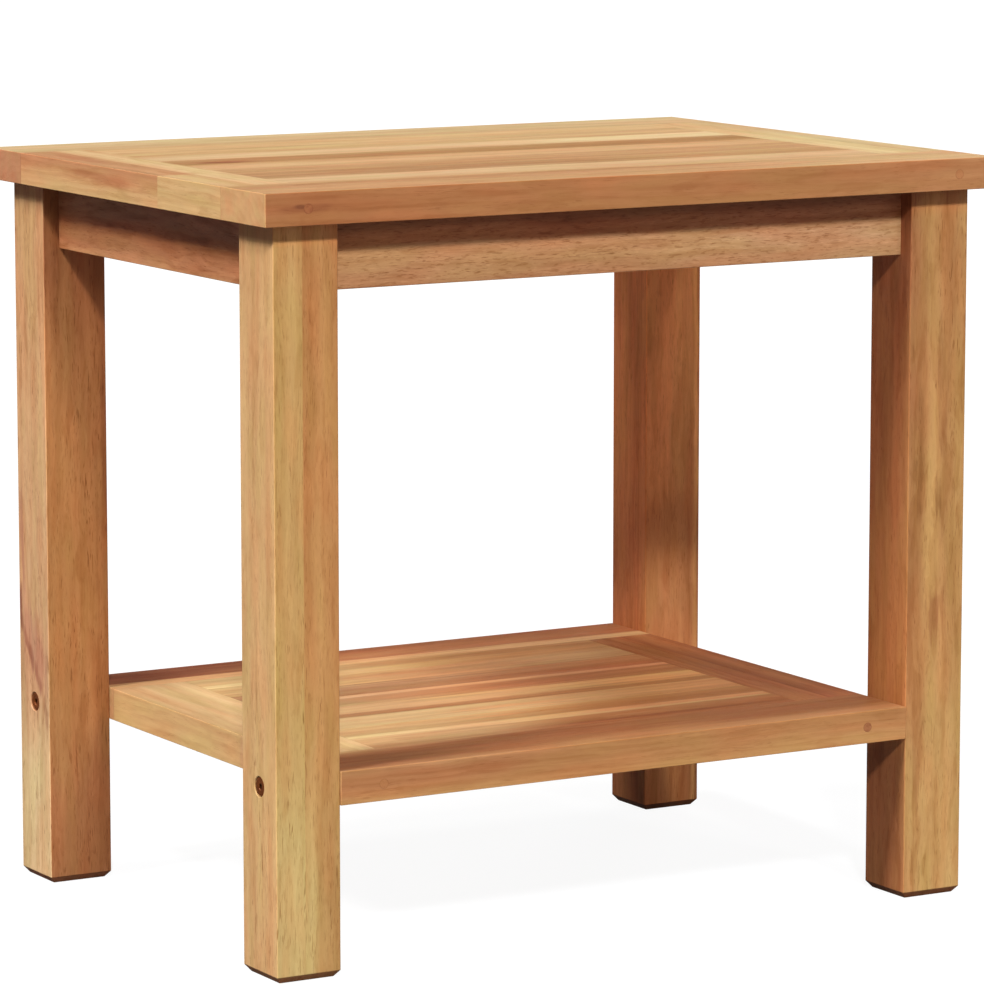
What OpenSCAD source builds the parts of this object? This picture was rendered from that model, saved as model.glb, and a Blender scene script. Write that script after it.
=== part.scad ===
// Small slatted wooden table with a lower storage shelf.
// Millimetres, +Z up. The origin is on the floor, under the middle of the tabletop.
// +X runs along the length of the table, -Y is the front.

/* [Overall] */
// Length of the tabletop
table_w = 600; // [560:1:760]
// Depth of the tabletop
table_d = 444; // [420:1:560]
// Height from the floor to the tabletop
table_h = 548; // [420:1:700]

/* [Tabletop] */
// Thickness of the tabletop
top_t = 23; // [20:0.5:30]
// How far the tabletop stands out past the legs at each side
side_overhang = 14; // [5:1:30]
// How far the tabletop stands out past the legs at front and back
front_overhang = 16; // [5:1:30]
// Width of the tabletop's front rail
top_front_rail_w = 65; // [55:1:80]
// Width of the tabletop's back rail
top_back_rail_w = 59; // [55:1:80]
// Width of the tabletop's left end board
top_left_end_w = 54; // [52:1:80]
// Width of the tabletop's right end board
top_right_end_w = 58; // [52:1:80]

/* [Shelf] */
// Height of the shelf's upper face
shelf_h = 145; // [110:1:240]
// Thickness of the shelf
shelf_t = 24; // [22:0.5:30]
// How far the shelf's front edge stands proud of the legs
shelf_proud = 1; // [0:0.5:3]
// Width of the shelf's front rail
shelf_front_rail_w = 60; // [52:1:80]
// Width of the shelf's back rail
shelf_back_rail_w = 57; // [52:1:80]
// Width of the shelf's left end board
shelf_left_end_w = 60; // [50:1:80]
// Width of the shelf's right end board
shelf_right_end_w = 57; // [50:1:80]

/* [Legs] */
// Side of the square leg
leg_w = 50; // [45:1:60]
// How far the chamfer round each foot is cut into the leg
foot_chamfer = 4; // [1:0.5:8]
// Height of the chamfer round each foot
foot_chamfer_h = 5; // [1:0.5:12]

/* [Aprons] */
// Height of the aprons under the tabletop
apron_h = 48; // [44:1:90]
// Thickness of the aprons
apron_t = 20; // [16:1:24]
// Distance from the legs' outer faces back to the aprons
apron_setback = 13; // [4:1:16]

/* [Joinery] */
// Thickness of the tongue on the end of each plank
tongue_t = 8; // [5:0.5:9]
// Length of the tongue on the end of each plank
tongue_l = 8; // [5:0.5:12]
// Diameter of the wooden pins that hold the rails to the end boards
dowel_d = 7; // [6:0.5:8]
// Distance of the pins from the ends of the tabletop's rails
top_dowel_in = 33; // [25:1:40]
// Distance of the pins from the ends of the shelf's rails
shelf_dowel_in = 34; // [32:1:40]
// Depth of each pin in its end board
dowel_grip = 30; // [20:1:40]

/* [Fasteners] */
// Diameter of the shelf bolt's shank
bolt_d = 6; // [5:0.5:8]
// Diameter of the shelf bolt's flat head
bolt_head_d = 13.6; // [12:0.1:16]
// Height of the shelf bolt's head
bolt_head_h = 3.6; // [3:0.1:5]
// Length of the shelf bolt under its head
bolt_l = 70; // [66:1:72]
// Across flats of the socket in the bolt's head
socket_af = 4; // [3:0.5:5]
// How far the bolt's head lies below the leg's face
bolt_sunk = 0.6; // [0:0.1:2]
// Height of the bolts above the middle of the shelf's thickness
bolt_rise = 2; // [0:0.5:2]

/* [Hidden] */
$fn = 48;
n_planks = 8;

// tabletop
tx = table_w/2;
ty = table_d/2;
top_z = table_h - top_t;
tfx0 = -tx + top_left_end_w;
tfx1 = tx - top_right_end_w;
tfy0 = -ty + top_front_rail_w;
tfy1 = ty - top_back_rail_w;
top_plank_w = (tfy1 - tfy0)/n_planks;

// legs: outer faces, inner faces and centre lines
lx_out = tx - side_overhang;
ly_out = ty - front_overhang;
lx_in = lx_out - leg_w;
ly_in = ly_out - leg_w;
lx_mid = lx_out - leg_w/2;
ly_mid = ly_out - leg_w/2;

// shelf
sx = lx_in;
sy0 = -ly_out - shelf_proud;
sy1 = ly_out;
shelf_z = shelf_h - shelf_t;
sfx0 = -sx + shelf_left_end_w;
sfx1 = sx - shelf_right_end_w;
sfy0 = sy0 + shelf_front_rail_w;
sfy1 = sy1 - shelf_back_rail_w;
shelf_plank_w = (sfy1 - sfy0)/n_planks;

// aprons
ay_out = ly_out - apron_setback;
ay_in = ay_out - apron_t;
ax_out = lx_out - apron_setback;
ax_in = ax_out - apron_t;
apron_z = top_z - apron_h;

// shelf bolts, along X through the legs into the rails' ends
bolt_z = shelf_z + shelf_t/2 + bolt_rise;
bolt_seat = lx_out - bolt_sunk - bolt_head_h;
nut_d = 10;
nut_l = 14;
nut_x = sx - 22;
nut_z0 = bolt_z - nut_l/2;

// corner brackets, measured from the leg's inner corner
br_t = 2.5;
br_h = 36;
br_z = top_z - 4 - br_h;
br_mid = br_z + br_h/2;
br_leg = 44;
br_end = 79;
hb_gap = (br_leg - (ax_in - lx_in) - (ay_in - ly_in))/sqrt(2);
hb_in = 34;
hb_out = 21;

// screws that hold the tabletop down to the aprons
ts_head_z = apron_z + 22;
ts_x = [-150, 0, 150];
ts_y = [-72, 72];
ts_into_top = 14;

clr = 0.05;
e = 0.01;

// ---- shared shapes ----

// A plain board between two corners
module board(x0, x1, y0, y1, z0, z1) {
    translate([x0, y0, z0]) cube([x1 - x0, y1 - y0, z1 - z0]);
}

// A cylinder along +X, +Y or +Z from a point
module rod_x(p, d, l) { translate(p) rotate([0, 90, 0]) cylinder(d = d, h = l); }
module rod_y(p, d, l) { translate(p) rotate([-90, 0, 0]) cylinder(d = d, h = l); }
module rod_z(p, d, l) { translate(p) cylinder(d = d, h = l); }

// The four corners of the table: 1 or -1 in X and Y
corners = [[-1, -1], [1, -1], [-1, 1], [1, 1]];

// Moves a shape drawn for the back right corner to another corner
module at_corner(c) {
    mirror([c[0] < 0 ? 1 : 0, 0, 0]) mirror([0, c[1] < 0 ? 1 : 0, 0]) children();
}

// Bores for the tabletop's wooden pins, a little longer than the pins
module top_dowel_bores() {
    for (s = [-1, 1]) {
        rod_y([s*(tx - top_dowel_in), -ty - 1, top_z + top_t/2], dowel_d + 2*clr, top_front_rail_w + dowel_grip + 1.5);
        rod_y([s*(tx - top_dowel_in), ty - top_back_rail_w - dowel_grip - 0.5, top_z + top_t/2], dowel_d + 2*clr, top_back_rail_w + dowel_grip + 1.5);
    }
}

// Bores for the shelf's wooden pins
module shelf_dowel_bores() {
    for (s = [-1, 1]) {
        rod_y([s*(sx - shelf_dowel_in), sy0 - 1, shelf_z + shelf_t/2], dowel_d + 2*clr, shelf_front_rail_w + dowel_grip + 1.5);
        rod_y([s*(sx - shelf_dowel_in), sy1 - shelf_back_rail_w - dowel_grip - 0.5, shelf_z + shelf_t/2], dowel_d + 2*clr, shelf_back_rail_w + dowel_grip + 1.5);
    }
}

// Pilot holes in the tabletop for the screws that come up through the aprons
module top_screw_pilots() {
    for (x = ts_x, s = [-1, 1])
        rod_z([x, s*(ay_in + apron_t/2), top_z - 1], 4.2 + 2*clr, ts_into_top + 1.5);
    for (y = ts_y, s = [-1, 1])
        rod_z([s*(ax_in + apron_t/2), y, top_z - 1], 4.2 + 2*clr, ts_into_top + 1.5);
}

// Shank holes and deep counterbores in the aprons for the same screws
module apron_screw_holes() {
    for (x = ts_x, s = [-1, 1]) {
        rod_z([x, s*(ay_in + apron_t/2), apron_z - 1], 9.5, ts_head_z - apron_z + 1);
        rod_z([x, s*(ay_in + apron_t/2), apron_z - 1], 5, apron_h + 2);
    }
    for (y = ts_y, s = [-1, 1]) {
        rod_z([s*(ax_in + apron_t/2), y, apron_z - 1], 9.5, ts_head_z - apron_z + 1);
        rod_z([s*(ax_in + apron_t/2), y, apron_z - 1], 5, apron_h + 2);
    }
}

// Where the bracket's screws go, as distances from the leg's inner corner
br_screws = [[37, -9], [53, 9]];

// Pilot holes in the aprons for the brackets' screws, back right corner
module bracket_screw_pilots() {
    for (p = br_screws) {
        rod_y([lx_in - p[0], ay_in - 1, br_mid + p[1]], 3.8 + 2*clr, 15);
        rod_x([ax_in - 1, ly_in - p[0], br_mid + p[1]], 3.8 + 2*clr, 15);
    }
}

// ---- tabletop ----

module top_rail(y0, y1) {
    difference() {
        board(-tx, tx, y0, y1, top_z, table_h);
        top_dowel_bores();
        top_screw_pilots();
    }
}

module top_end_board(x0, x1, groove_x) {
    difference() {
        board(x0, x1, tfy0, tfy1, top_z, table_h);
        top_dowel_bores();
        top_screw_pilots();
        // groove for the planks' tongues
        board(groove_x - tongue_l - 0.1, groove_x + tongue_l + 0.1, tfy0 - 1, tfy1 + 1,
              top_z + (top_t - tongue_t)/2, top_z + (top_t + tongue_t)/2);
    }
}

// Plank i of the tabletop, counted from the front
module top_plank(i) {
    y0 = tfy0 + (i - 1)*top_plank_w;
    union() {
        board(tfx0, tfx1, y0, y0 + top_plank_w, top_z, table_h);
        board(tfx0 - tongue_l, tfx1 + tongue_l, y0, y0 + top_plank_w,
              top_z + (top_t - tongue_t)/2, top_z + (top_t + tongue_t)/2);
    }
}

module top_front_rail() { color([0.80, 0.61, 0.42]) top_rail(-ty, tfy0); }
module top_back_rail() { color([0.83, 0.67, 0.47]) top_rail(tfy1, ty); }
module top_left_end_board() { color([0.84, 0.66, 0.46]) top_end_board(-tx, tfx0, tfx0); }
module top_right_end_board() { color([0.88, 0.74, 0.54]) top_end_board(tfx1, tx, tfx1); }
module top_plank_1() { color([0.88, 0.72, 0.52]) top_plank(1); }
module top_plank_2() { color([0.77, 0.58, 0.41]) top_plank(2); }
module top_plank_3() { color([0.81, 0.63, 0.44]) top_plank(3); }
module top_plank_4() { color([0.86, 0.68, 0.49]) top_plank(4); }
module top_plank_5() { color([0.73, 0.53, 0.36]) top_plank(5); }
module top_plank_6() { color([0.90, 0.77, 0.58]) top_plank(6); }
module top_plank_7() { color([0.83, 0.67, 0.48]) top_plank(7); }
module top_plank_8() { color([0.86, 0.71, 0.51]) top_plank(8); }

// ---- shelf ----

module shelf_rail(y0, y1) {
    difference() {
        board(-sx, sx, y0, y1, shelf_z, shelf_h);
        shelf_dowel_bores();
        for (c = corners) at_corner(c) {
            rod_x([sx - 28, ly_mid, bolt_z], bolt_d + 1, 29);
            rod_z([nut_x, ly_mid, shelf_z - 1], nut_d + 0.4, nut_z0 + nut_l - shelf_z + 1);
        }
    }
}

module shelf_end_board(x0, x1, groove_x) {
    difference() {
        board(x0, x1, sfy0, sfy1, shelf_z, shelf_h);
        shelf_dowel_bores();
        board(groove_x - tongue_l - 0.1, groove_x + tongue_l + 0.1, sfy0 - 1, sfy1 + 1,
              shelf_z + (shelf_t - tongue_t)/2, shelf_z + (shelf_t + tongue_t)/2);
    }
}

// Plank i of the shelf, counted from the front
module shelf_plank(i) {
    y0 = sfy0 + (i - 1)*shelf_plank_w;
    union() {
        board(sfx0, sfx1, y0, y0 + shelf_plank_w, shelf_z, shelf_h);
        board(sfx0 - tongue_l, sfx1 + tongue_l, y0, y0 + shelf_plank_w,
              shelf_z + (shelf_t - tongue_t)/2, shelf_z + (shelf_t + tongue_t)/2);
    }
}

module shelf_front_rail() { color([0.64, 0.41, 0.26]) shelf_rail(sy0, sfy0); }
module shelf_back_rail() { color([0.66, 0.42, 0.27]) shelf_rail(sfy1, sy1); }
module shelf_left_end_board() { color([0.85, 0.67, 0.46]) shelf_end_board(-sx, sfx0, sfx0); }
module shelf_right_end_board() { color([0.61, 0.38, 0.23]) shelf_end_board(sfx1, sx, sfx1); }
module shelf_plank_1() { color([0.74, 0.54, 0.36]) shelf_plank(1); }
module shelf_plank_2() { color([0.76, 0.55, 0.37]) shelf_plank(2); }
module shelf_plank_3() { color([0.80, 0.60, 0.41]) shelf_plank(3); }
module shelf_plank_4() { color([0.79, 0.58, 0.38]) shelf_plank(4); }
module shelf_plank_5() { color([0.71, 0.47, 0.32]) shelf_plank(5); }
module shelf_plank_6() { color([0.67, 0.44, 0.29]) shelf_plank(6); }
module shelf_plank_7() { color([0.77, 0.57, 0.38]) shelf_plank(7); }
module shelf_plank_8() { color([0.80, 0.60, 0.41]) shelf_plank(8); }

// ---- legs ----

// The outline of a leg seen from one side, chamfered at the foot
module leg_outline() {
    polygon([[-leg_w/2 + foot_chamfer, 0], [leg_w/2 - foot_chamfer, 0], [leg_w/2, foot_chamfer_h],
             [leg_w/2, top_z], [-leg_w/2, top_z], [-leg_w/2, foot_chamfer_h]]);
}

// A leg at the back right corner, bored for its shelf bolt and its hanger bolt
module leg() {
    difference() {
        translate([lx_mid, ly_mid, 0]) intersection() {
            rotate([90, 0, 0]) linear_extrude(height = leg_w, center = true) leg_outline();
            rotate([90, 0, 90]) linear_extrude(height = leg_w, center = true) leg_outline();
        }
        rod_x([lx_in - 1, ly_mid, bolt_z], bolt_d + 1, leg_w + 2);
        rod_x([bolt_seat, ly_mid, bolt_z], bolt_head_d + 0.8, leg_w);
        translate([lx_in, ly_in, br_mid]) rotate([0, 90, 45])
            translate([0, 0, -5]) cylinder(d = bolt_d + 2*clr, h = hb_in + 6);
    }
}

module leg_front_left() { color([0.80, 0.62, 0.40]) at_corner([-1, -1]) leg(); }
module leg_front_right() { color([0.78, 0.58, 0.36]) at_corner([1, -1]) leg(); }
module leg_back_left() { color([0.80, 0.60, 0.42]) at_corner([-1, 1]) leg(); }
module leg_back_right() { color([0.72, 0.47, 0.30]) at_corner([1, 1]) leg(); }

// ---- aprons ----

module apron_along(s) {
    difference() {
        board(-lx_in, lx_in, s > 0 ? ay_in : -ay_out, s > 0 ? ay_out : -ay_in, apron_z, top_z);
        apron_screw_holes();
        for (c = corners) at_corner(c) bracket_screw_pilots();
    }
}

module apron_across(s) {
    difference() {
        board(s > 0 ? ax_in : -ax_out, s > 0 ? ax_out : -ax_in, -ly_in, ly_in, apron_z, top_z);
        apron_screw_holes();
        for (c = corners) at_corner(c) bracket_screw_pilots();
    }
}

module apron_front() { color([0.74, 0.52, 0.34]) apron_along(-1); }
module apron_back() { color([0.74, 0.52, 0.34]) apron_along(1); }
module apron_left() { color([0.72, 0.48, 0.32]) apron_across(-1); }
module apron_right() { color([0.72, 0.48, 0.32]) apron_across(1); }

// ---- wooden pins ----

module top_dowel_pins() {
    color([0.70, 0.48, 0.31]) for (s = [-1, 1]) {
        rod_y([s*(tx - top_dowel_in), -ty, top_z + top_t/2], dowel_d, top_front_rail_w + dowel_grip);
        rod_y([s*(tx - top_dowel_in), ty - top_back_rail_w - dowel_grip, top_z + top_t/2], dowel_d, top_back_rail_w + dowel_grip);
    }
}

module shelf_dowel_pins() {
    color([0.70, 0.48, 0.31]) for (s = [-1, 1]) {
        rod_y([s*(sx - shelf_dowel_in), sy0, shelf_z + shelf_t/2], dowel_d, shelf_front_rail_w + dowel_grip);
        rod_y([s*(sx - shelf_dowel_in), sy1 - shelf_back_rail_w - dowel_grip, shelf_z + shelf_t/2], dowel_d, shelf_back_rail_w + dowel_grip);
    }
}

// ---- shelf fasteners ----

module shelf_bolts() {
    color([0.42, 0.29, 0.20]) for (c = corners) at_corner(c) difference() {
        union() {
            rod_x([bolt_seat, ly_mid, bolt_z], bolt_head_d, bolt_head_h);
            rod_x([bolt_seat - bolt_l, ly_mid, bolt_z], bolt_d, bolt_l + e);
        }
        translate([bolt_seat + bolt_head_h - 2.6, ly_mid, bolt_z]) rotate([0, 90, 0])
            cylinder(d = socket_af/cos(30), h = 4, $fn = 6);
    }
}

module shelf_barrel_nuts() {
    color([0.70, 0.70, 0.72]) for (c = corners) at_corner(c) difference() {
        rod_z([nut_x, ly_mid, nut_z0], nut_d, nut_l);
        rod_x([nut_x - nut_d, ly_mid, bolt_z], bolt_d + 2*clr, 2*nut_d);
        // slot that turns the nut into line
        board(nut_x - nut_d, nut_x + nut_d, ly_mid - 0.8, ly_mid + 0.8, nut_z0 - 1, nut_z0 + 1.2);
    }
}

// ---- corner fasteners under the tabletop ----

// Along the bolt: 0 is the leg's inner corner, positive is towards the middle of the table
module along_hanger() {
    translate([lx_in, ly_in, br_mid]) rotate([0, 90, 225]) children();
}

// The bracket's outline seen from above, for the back right corner: two flanges on the
// aprons' inner faces and a web across the corner
module bracket_outline() {
    b = br_leg + br_t*(sqrt(2) - 1);
    polygon([[0, -br_leg], [0, -br_end], [-br_t, -br_end], [-br_t, -b],
             [-b, -br_t], [-br_end, -br_t], [-br_end, 0], [-br_leg, 0]]);
}

module corner_brackets() {
    color([0.72, 0.73, 0.75]) for (c = corners) at_corner(c) difference() {
        translate([ax_in, ay_in, br_z]) linear_extrude(height = br_h) bracket_outline();
        along_hanger() cylinder(d = 7, h = 40);
        for (p = br_screws) {
            rod_y([lx_in - p[0], ay_in - 5, br_mid + p[1]], 4.6, 10);
            rod_x([ax_in - 5, ly_in - p[0], br_mid + p[1]], 4.6, 10);
        }
    }
}

module hanger_bolts() {
    color([0.72, 0.73, 0.75]) for (c = corners) at_corner(c) along_hanger()
        translate([0, 0, -hb_in]) cylinder(d = bolt_d, h = hb_in + hb_gap + hb_out);
}

module hanger_bolt_washers() {
    color([0.72, 0.73, 0.75]) for (c = corners) at_corner(c) along_hanger()
        translate([0, 0, hb_gap + br_t]) difference() {
            cylinder(d = 16, h = 1.5);
            translate([0, 0, -1]) cylinder(d = bolt_d + 0.4, h = 4);
        }
}

module hanger_bolt_nuts() {
    color([0.72, 0.73, 0.75]) for (c = corners) at_corner(c) along_hanger()
        translate([0, 0, hb_gap + br_t + 1.5]) difference() {
            cylinder(d = 10/cos(30), h = 5, $fn = 6);
            translate([0, 0, -1]) cylinder(d = bolt_d + 2*clr, h = 7);
        }
}

// A pan head screw along +Z, with its head's seat at 0 and its head below
module pan_screw(d, l, hd, hh) {
    difference() {
        union() {
            translate([0, 0, -hh]) cylinder(d = hd, h = hh);
            translate([0, 0, -e]) cylinder(d = d, h = l - d/2 + e);
            translate([0, 0, l - d/2]) cylinder(d1 = d, d2 = 0.6, h = d/2);
        }
        // cross recess
        for (a = [0, 90]) rotate([0, 0, a]) translate([-hd*0.28, -0.5, -hh - 1]) cube([hd*0.56, 1, 1 + hh*0.6]);
    }
}

module bracket_screws() {
    color([0.72, 0.73, 0.75]) for (c = corners) at_corner(c) for (p = br_screws) {
        translate([lx_in - p[0], ay_in - br_t, br_mid + p[1]]) rotate([-90, 0, 0]) pan_screw(3.8, 15, 8, 2.4);
        translate([ax_in - br_t, ly_in - p[0], br_mid + p[1]]) rotate([0, 90, 0]) pan_screw(3.8, 15, 8, 2.4);
    }
}

module top_fixing_screws() {
    l = top_z - ts_head_z + ts_into_top;
    color([0.72, 0.73, 0.75]) {
        for (x = ts_x, s = [-1, 1]) translate([x, s*(ay_in + apron_t/2), ts_head_z]) pan_screw(4.2, l, 8.4, 2.6);
        for (y = ts_y, s = [-1, 1]) translate([s*(ax_in + apron_t/2), y, ts_head_z]) pan_screw(4.2, l, 8.4, 2.6);
    }
}

top_front_rail();
top_back_rail();
top_left_end_board();
top_right_end_board();
top_plank_1();
top_plank_2();
top_plank_3();
top_plank_4();
top_plank_5();
top_plank_6();
top_plank_7();
top_plank_8();
shelf_front_rail();
shelf_back_rail();
shelf_left_end_board();
shelf_right_end_board();
shelf_plank_1();
shelf_plank_2();
shelf_plank_3();
shelf_plank_4();
shelf_plank_5();
shelf_plank_6();
shelf_plank_7();
shelf_plank_8();
leg_front_left();
leg_front_right();
leg_back_left();
leg_back_right();
apron_front();
apron_back();
apron_left();
apron_right();
top_dowel_pins();
shelf_dowel_pins();
shelf_bolts();
shelf_barrel_nuts();
corner_brackets();
hanger_bolts();
hanger_bolt_washers();
hanger_bolt_nuts();
bracket_screws();
top_fixing_screws();
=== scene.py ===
import math
import random
import bpy
import bmesh
from mathutils import Vector, Matrix


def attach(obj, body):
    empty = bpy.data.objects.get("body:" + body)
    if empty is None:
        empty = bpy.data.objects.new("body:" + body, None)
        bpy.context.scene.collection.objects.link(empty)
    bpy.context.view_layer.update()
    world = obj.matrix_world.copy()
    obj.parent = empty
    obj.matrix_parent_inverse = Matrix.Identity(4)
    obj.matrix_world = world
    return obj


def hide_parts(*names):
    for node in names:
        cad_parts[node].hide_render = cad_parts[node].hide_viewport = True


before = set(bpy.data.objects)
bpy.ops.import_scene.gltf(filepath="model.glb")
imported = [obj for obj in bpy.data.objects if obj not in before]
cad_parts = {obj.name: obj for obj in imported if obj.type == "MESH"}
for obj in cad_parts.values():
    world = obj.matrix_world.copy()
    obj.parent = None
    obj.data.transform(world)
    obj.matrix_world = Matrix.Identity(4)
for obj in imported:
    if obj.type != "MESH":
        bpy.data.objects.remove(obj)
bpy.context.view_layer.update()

scene = bpy.context.scene
MM = 0.001

# ---------------------------------------------------------------- camera
cam_data = bpy.data.cameras.new("camera")
cam_data.sensor_fit = "HORIZONTAL"
cam_data.sensor_width = 36.0
cam_data.lens = 188.593
cam_data.clip_start = 0.05
cam_data.clip_end = 200.0
cam = bpy.data.objects.new("camera", cam_data)
cam.location = (-1.89597, -3.27093, 0.85920)
cam.rotation_euler = (1.422769, 0.0, -0.526368)
scene.collection.objects.link(cam)
scene.camera = cam

# ---------------------------------------------------------------- sizes, in millimetres, as in the frame
TOP = dict(x0=-300, x1=300, y0=-222, y1=222, z0=525, z1=548)
SHELF = dict(x0=-236, x1=236, y0=-207, y1=206, z0=121, z1=145)
TOP_Y = [-157 + 40*i for i in range(9)]        # seams between the tabletop's planks
SHELF_Y = [-147 + 37*i for i in range(9)]      # and between the shelf's
TFX = (-246, 242)
SFX = (-176, 179)
FOOT = (4.0, 5.0)                              # the foot's chamfer: how far in, how high


# ---------------------------------------------------------------- mesh helpers
def new_object(name, mesh):
    ob = bpy.data.objects.new(name, mesh)
    scene.collection.objects.link(ob)
    return ob


def from_bmesh(name, bm):
    bmesh.ops.recalc_face_normals(bm, faces=bm.faces)
    me = bpy.data.meshes.new(name)
    bm.to_mesh(me)
    bm.free()
    return new_object(name, me)


def prism(name, outline, y0, y1):
    """A solid with this outline in X and Z, from y0 to y1 (millimetres)."""
    bm = bmesh.new()
    a = [bm.verts.new((x*MM, y0*MM, z*MM)) for x, z in outline]
    b = [bm.verts.new((x*MM, y1*MM, z*MM)) for x, z in outline]
    n = len(outline)
    bm.faces.new(a)
    bm.faces.new(list(reversed(b)))
    for i in range(n):
        j = (i + 1) % n
        bm.faces.new([a[j], a[i], b[i], b[j]])
    return from_bmesh(name, bm)


def weigh_edges(ob, rule):
    """Gives each edge a bevel width in millimetres, by the rule on its two ends."""
    me = ob.data
    att = me.attributes.new("bevel_weight_edge", "FLOAT", "EDGE")
    widths = []
    for e in me.edges:
        p, q = (me.vertices[i].co/MM for i in e.vertices)
        widths.append(rule(p, q))
    most = max(widths)
    for i, w in enumerate(widths):
        att.data[i].value = w/most if most else 0.0
    return most


def revolve(bm, origin, axis, profile, seg=40):
    """Adds a closed solid of revolution: profile is [(distance along the axis, radius)], in millimetres."""
    axis = Vector(axis).normalized()
    side = Vector((0, 0, 1)) if abs(axis.z) < 0.9 else Vector((1, 0, 0))
    u = axis.cross(side).normalized()
    v = axis.cross(u)
    rings = []
    for t, r in profile:
        c = Vector(origin) + axis*t
        if r <= 1e-9:
            rings.append([bm.verts.new(c*MM)])
        else:
            rings.append([bm.verts.new((c + (u*math.cos(2*math.pi*k/seg) + v*math.sin(2*math.pi*k/seg))*r)*MM) for k in range(seg)])
    for a, b in zip(rings, rings[1:]):
        for k in range(seg):
            j = (k + 1) % seg
            if len(a) == 1 and len(b) == 1:
                continue
            if len(a) == 1:
                bm.faces.new([a[0], b[k], b[j]])
            elif len(b) == 1:
                bm.faces.new([a[k], b[0], a[j]])
            else:
                bm.faces.new([a[k], b[k], b[j], a[j]])
    if len(rings[0]) > 1:
        bm.faces.new(rings[0])
    if len(rings[-1]) > 1:
        bm.faces.new(list(reversed(rings[-1])))


def settle(ob):
    """Replaces the object's mesh by what its modifiers make of it."""
    dg = bpy.context.evaluated_depsgraph_get()
    dg.update()
    me = bpy.data.meshes.new_from_object(ob.evaluated_get(dg), preserve_all_data_layers=True, depsgraph=dg)
    old = ob.data
    ob.modifiers.clear()
    ob.data = me
    me.name = ob.name
    bpy.data.meshes.remove(old)


def cut(ob, cutter_mesh):
    """Takes the cutter's shape out of the object, and whatever bevel waits on it comes first."""
    cutter = new_object("cutter", cutter_mesh)
    b = ob.modifiers.new("bores", "BOOLEAN")
    b.operation = "DIFFERENCE"
    b.solver = "EXACT"
    b.object = cutter
    settle(ob)
    bpy.data.objects.remove(cutter)
    bpy.data.meshes.remove(cutter_mesh)


def bores_mesh(bores):
    bm = bmesh.new()
    for origin, axis, profile in bores:
        revolve(bm, origin, axis, profile)
    bmesh.ops.recalc_face_normals(bm, faces=bm.faces)
    cm = bpy.data.meshes.new("cutter")
    bm.to_mesh(cm)
    bm.free()
    return cm


def round_and_bore(ob, rule, bores=(), segments=3):
    most = weigh_edges(ob, rule)
    if most:
        m = ob.modifiers.new("arris", "BEVEL")
        m.limit_method = "WEIGHT"
        m.width = most*MM
        m.segments = segments
        m.use_clamp_overlap = True
        m.harden_normals = False
        m.miter_outer = "MITER_SHARP"
    if bores:
        cut(ob, bores_mesh(bores))
    else:
        settle(ob)
    smooth(ob)
    return ob


def smooth(ob, angle=40):
    me = ob.data
    me.shade_smooth()
    me.set_sharp_from_angle(angle=math.radians(angle))
    w = ob.modifiers.new("normals", "WEIGHTED_NORMAL")
    w.mode = "FACE_AREA"
    w.weight = 50
    w.keep_sharp = True
    settle(ob)


def on_planes(p, q, box, tol=0.01):
    """How many of the box's outer planes hold the whole edge."""
    n = 0
    for i, (lo, hi) in enumerate((("x0", "x1"), ("y0", "y1"), ("z0", "z1"))):
        for k in (lo, hi):
            if abs(p[i] - box[k]) < tol and abs(q[i] - box[k]) < tol:
                n += 1
    return n


def panel_rule(box, outer=1.0, seam=0.28):
    def rule(p, q):
        n = on_planes(p, q, box)
        return outer if n >= 2 else seam if n == 1 else 0.0
    return rule


def place(ob, node, material):
    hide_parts(node)
    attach(ob, "root")
    ob.data.materials.clear()
    ob.data.materials.append(material)
    return ob


# ---------------------------------------------------------------- bores, in millimetres
def pin_bores(box, x, rails, grip=30.0, d=7.1):
    z = (box["z0"] + box["z1"])/2
    front, back = rails
    out = []
    for s in (-1, 1):
        out.append(((s*x, box["y0"] - 1, z), (0, 1, 0), [(0, d/2), (1 + front + grip + 0.5, d/2)]))
        out.append(((s*x, box["y1"] + 1, z), (0, -1, 0), [(0, d/2), (1 + back + grip + 0.5, d/2)]))
    return out


top_pins = pin_bores(TOP, 267, (65, 59))
shelf_pins = pin_bores(SHELF, 202, (60, 57))


def shelf_rail_bores():
    out = []
    for sx in (-1, 1):
        for sy in (-1, 1):
            out.append(((sx*237, sy*181, 135), (-sx, 0, 0), [(0, 3.5), (29, 3.5)]))
            out.append(((sx*214, sy*181, 120), (0, 0, 1), [(0, 5.9), (1.0, 5.5), (1.35, 5.2), (22, 5.2)]))
    return out


def touching(bores, ob):
    """The bores that reach the object's box."""
    lo = [min(v.co[i] for v in ob.data.vertices)/MM for i in range(3)]
    hi = [max(v.co[i] for v in ob.data.vertices)/MM for i in range(3)]
    keep = []
    for o, a, prof in bores:
        p, q = Vector(o), Vector(o) + Vector(a)*prof[-1][0]
        r = max(k[1] for k in prof)
        if all(min(p[i], q[i]) - r < hi[i] and max(p[i], q[i]) + r > lo[i] for i in range(3)):
            keep.append((o, a, prof))
    return keep


def rect(x0, x1, z0, z1):
    return [(x0, z0), (x1, z0), (x1, z1), (x0, z1)]


def plank_outline(x0, x1, box, t=8.0, l=8.0):
    z0, z1 = box["z0"], box["z1"]
    m0, m1 = (z0 + z1 - t)/2, (z0 + z1 + t)/2
    return [(x0, z0), (x1, z0), (x1, m0), (x1 + l, m0), (x1 + l, m1), (x1, m1), (x1, z1), (x0, z1),
            (x0, m1), (x0 - l, m1), (x0 - l, m0), (x0, m0)]


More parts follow.
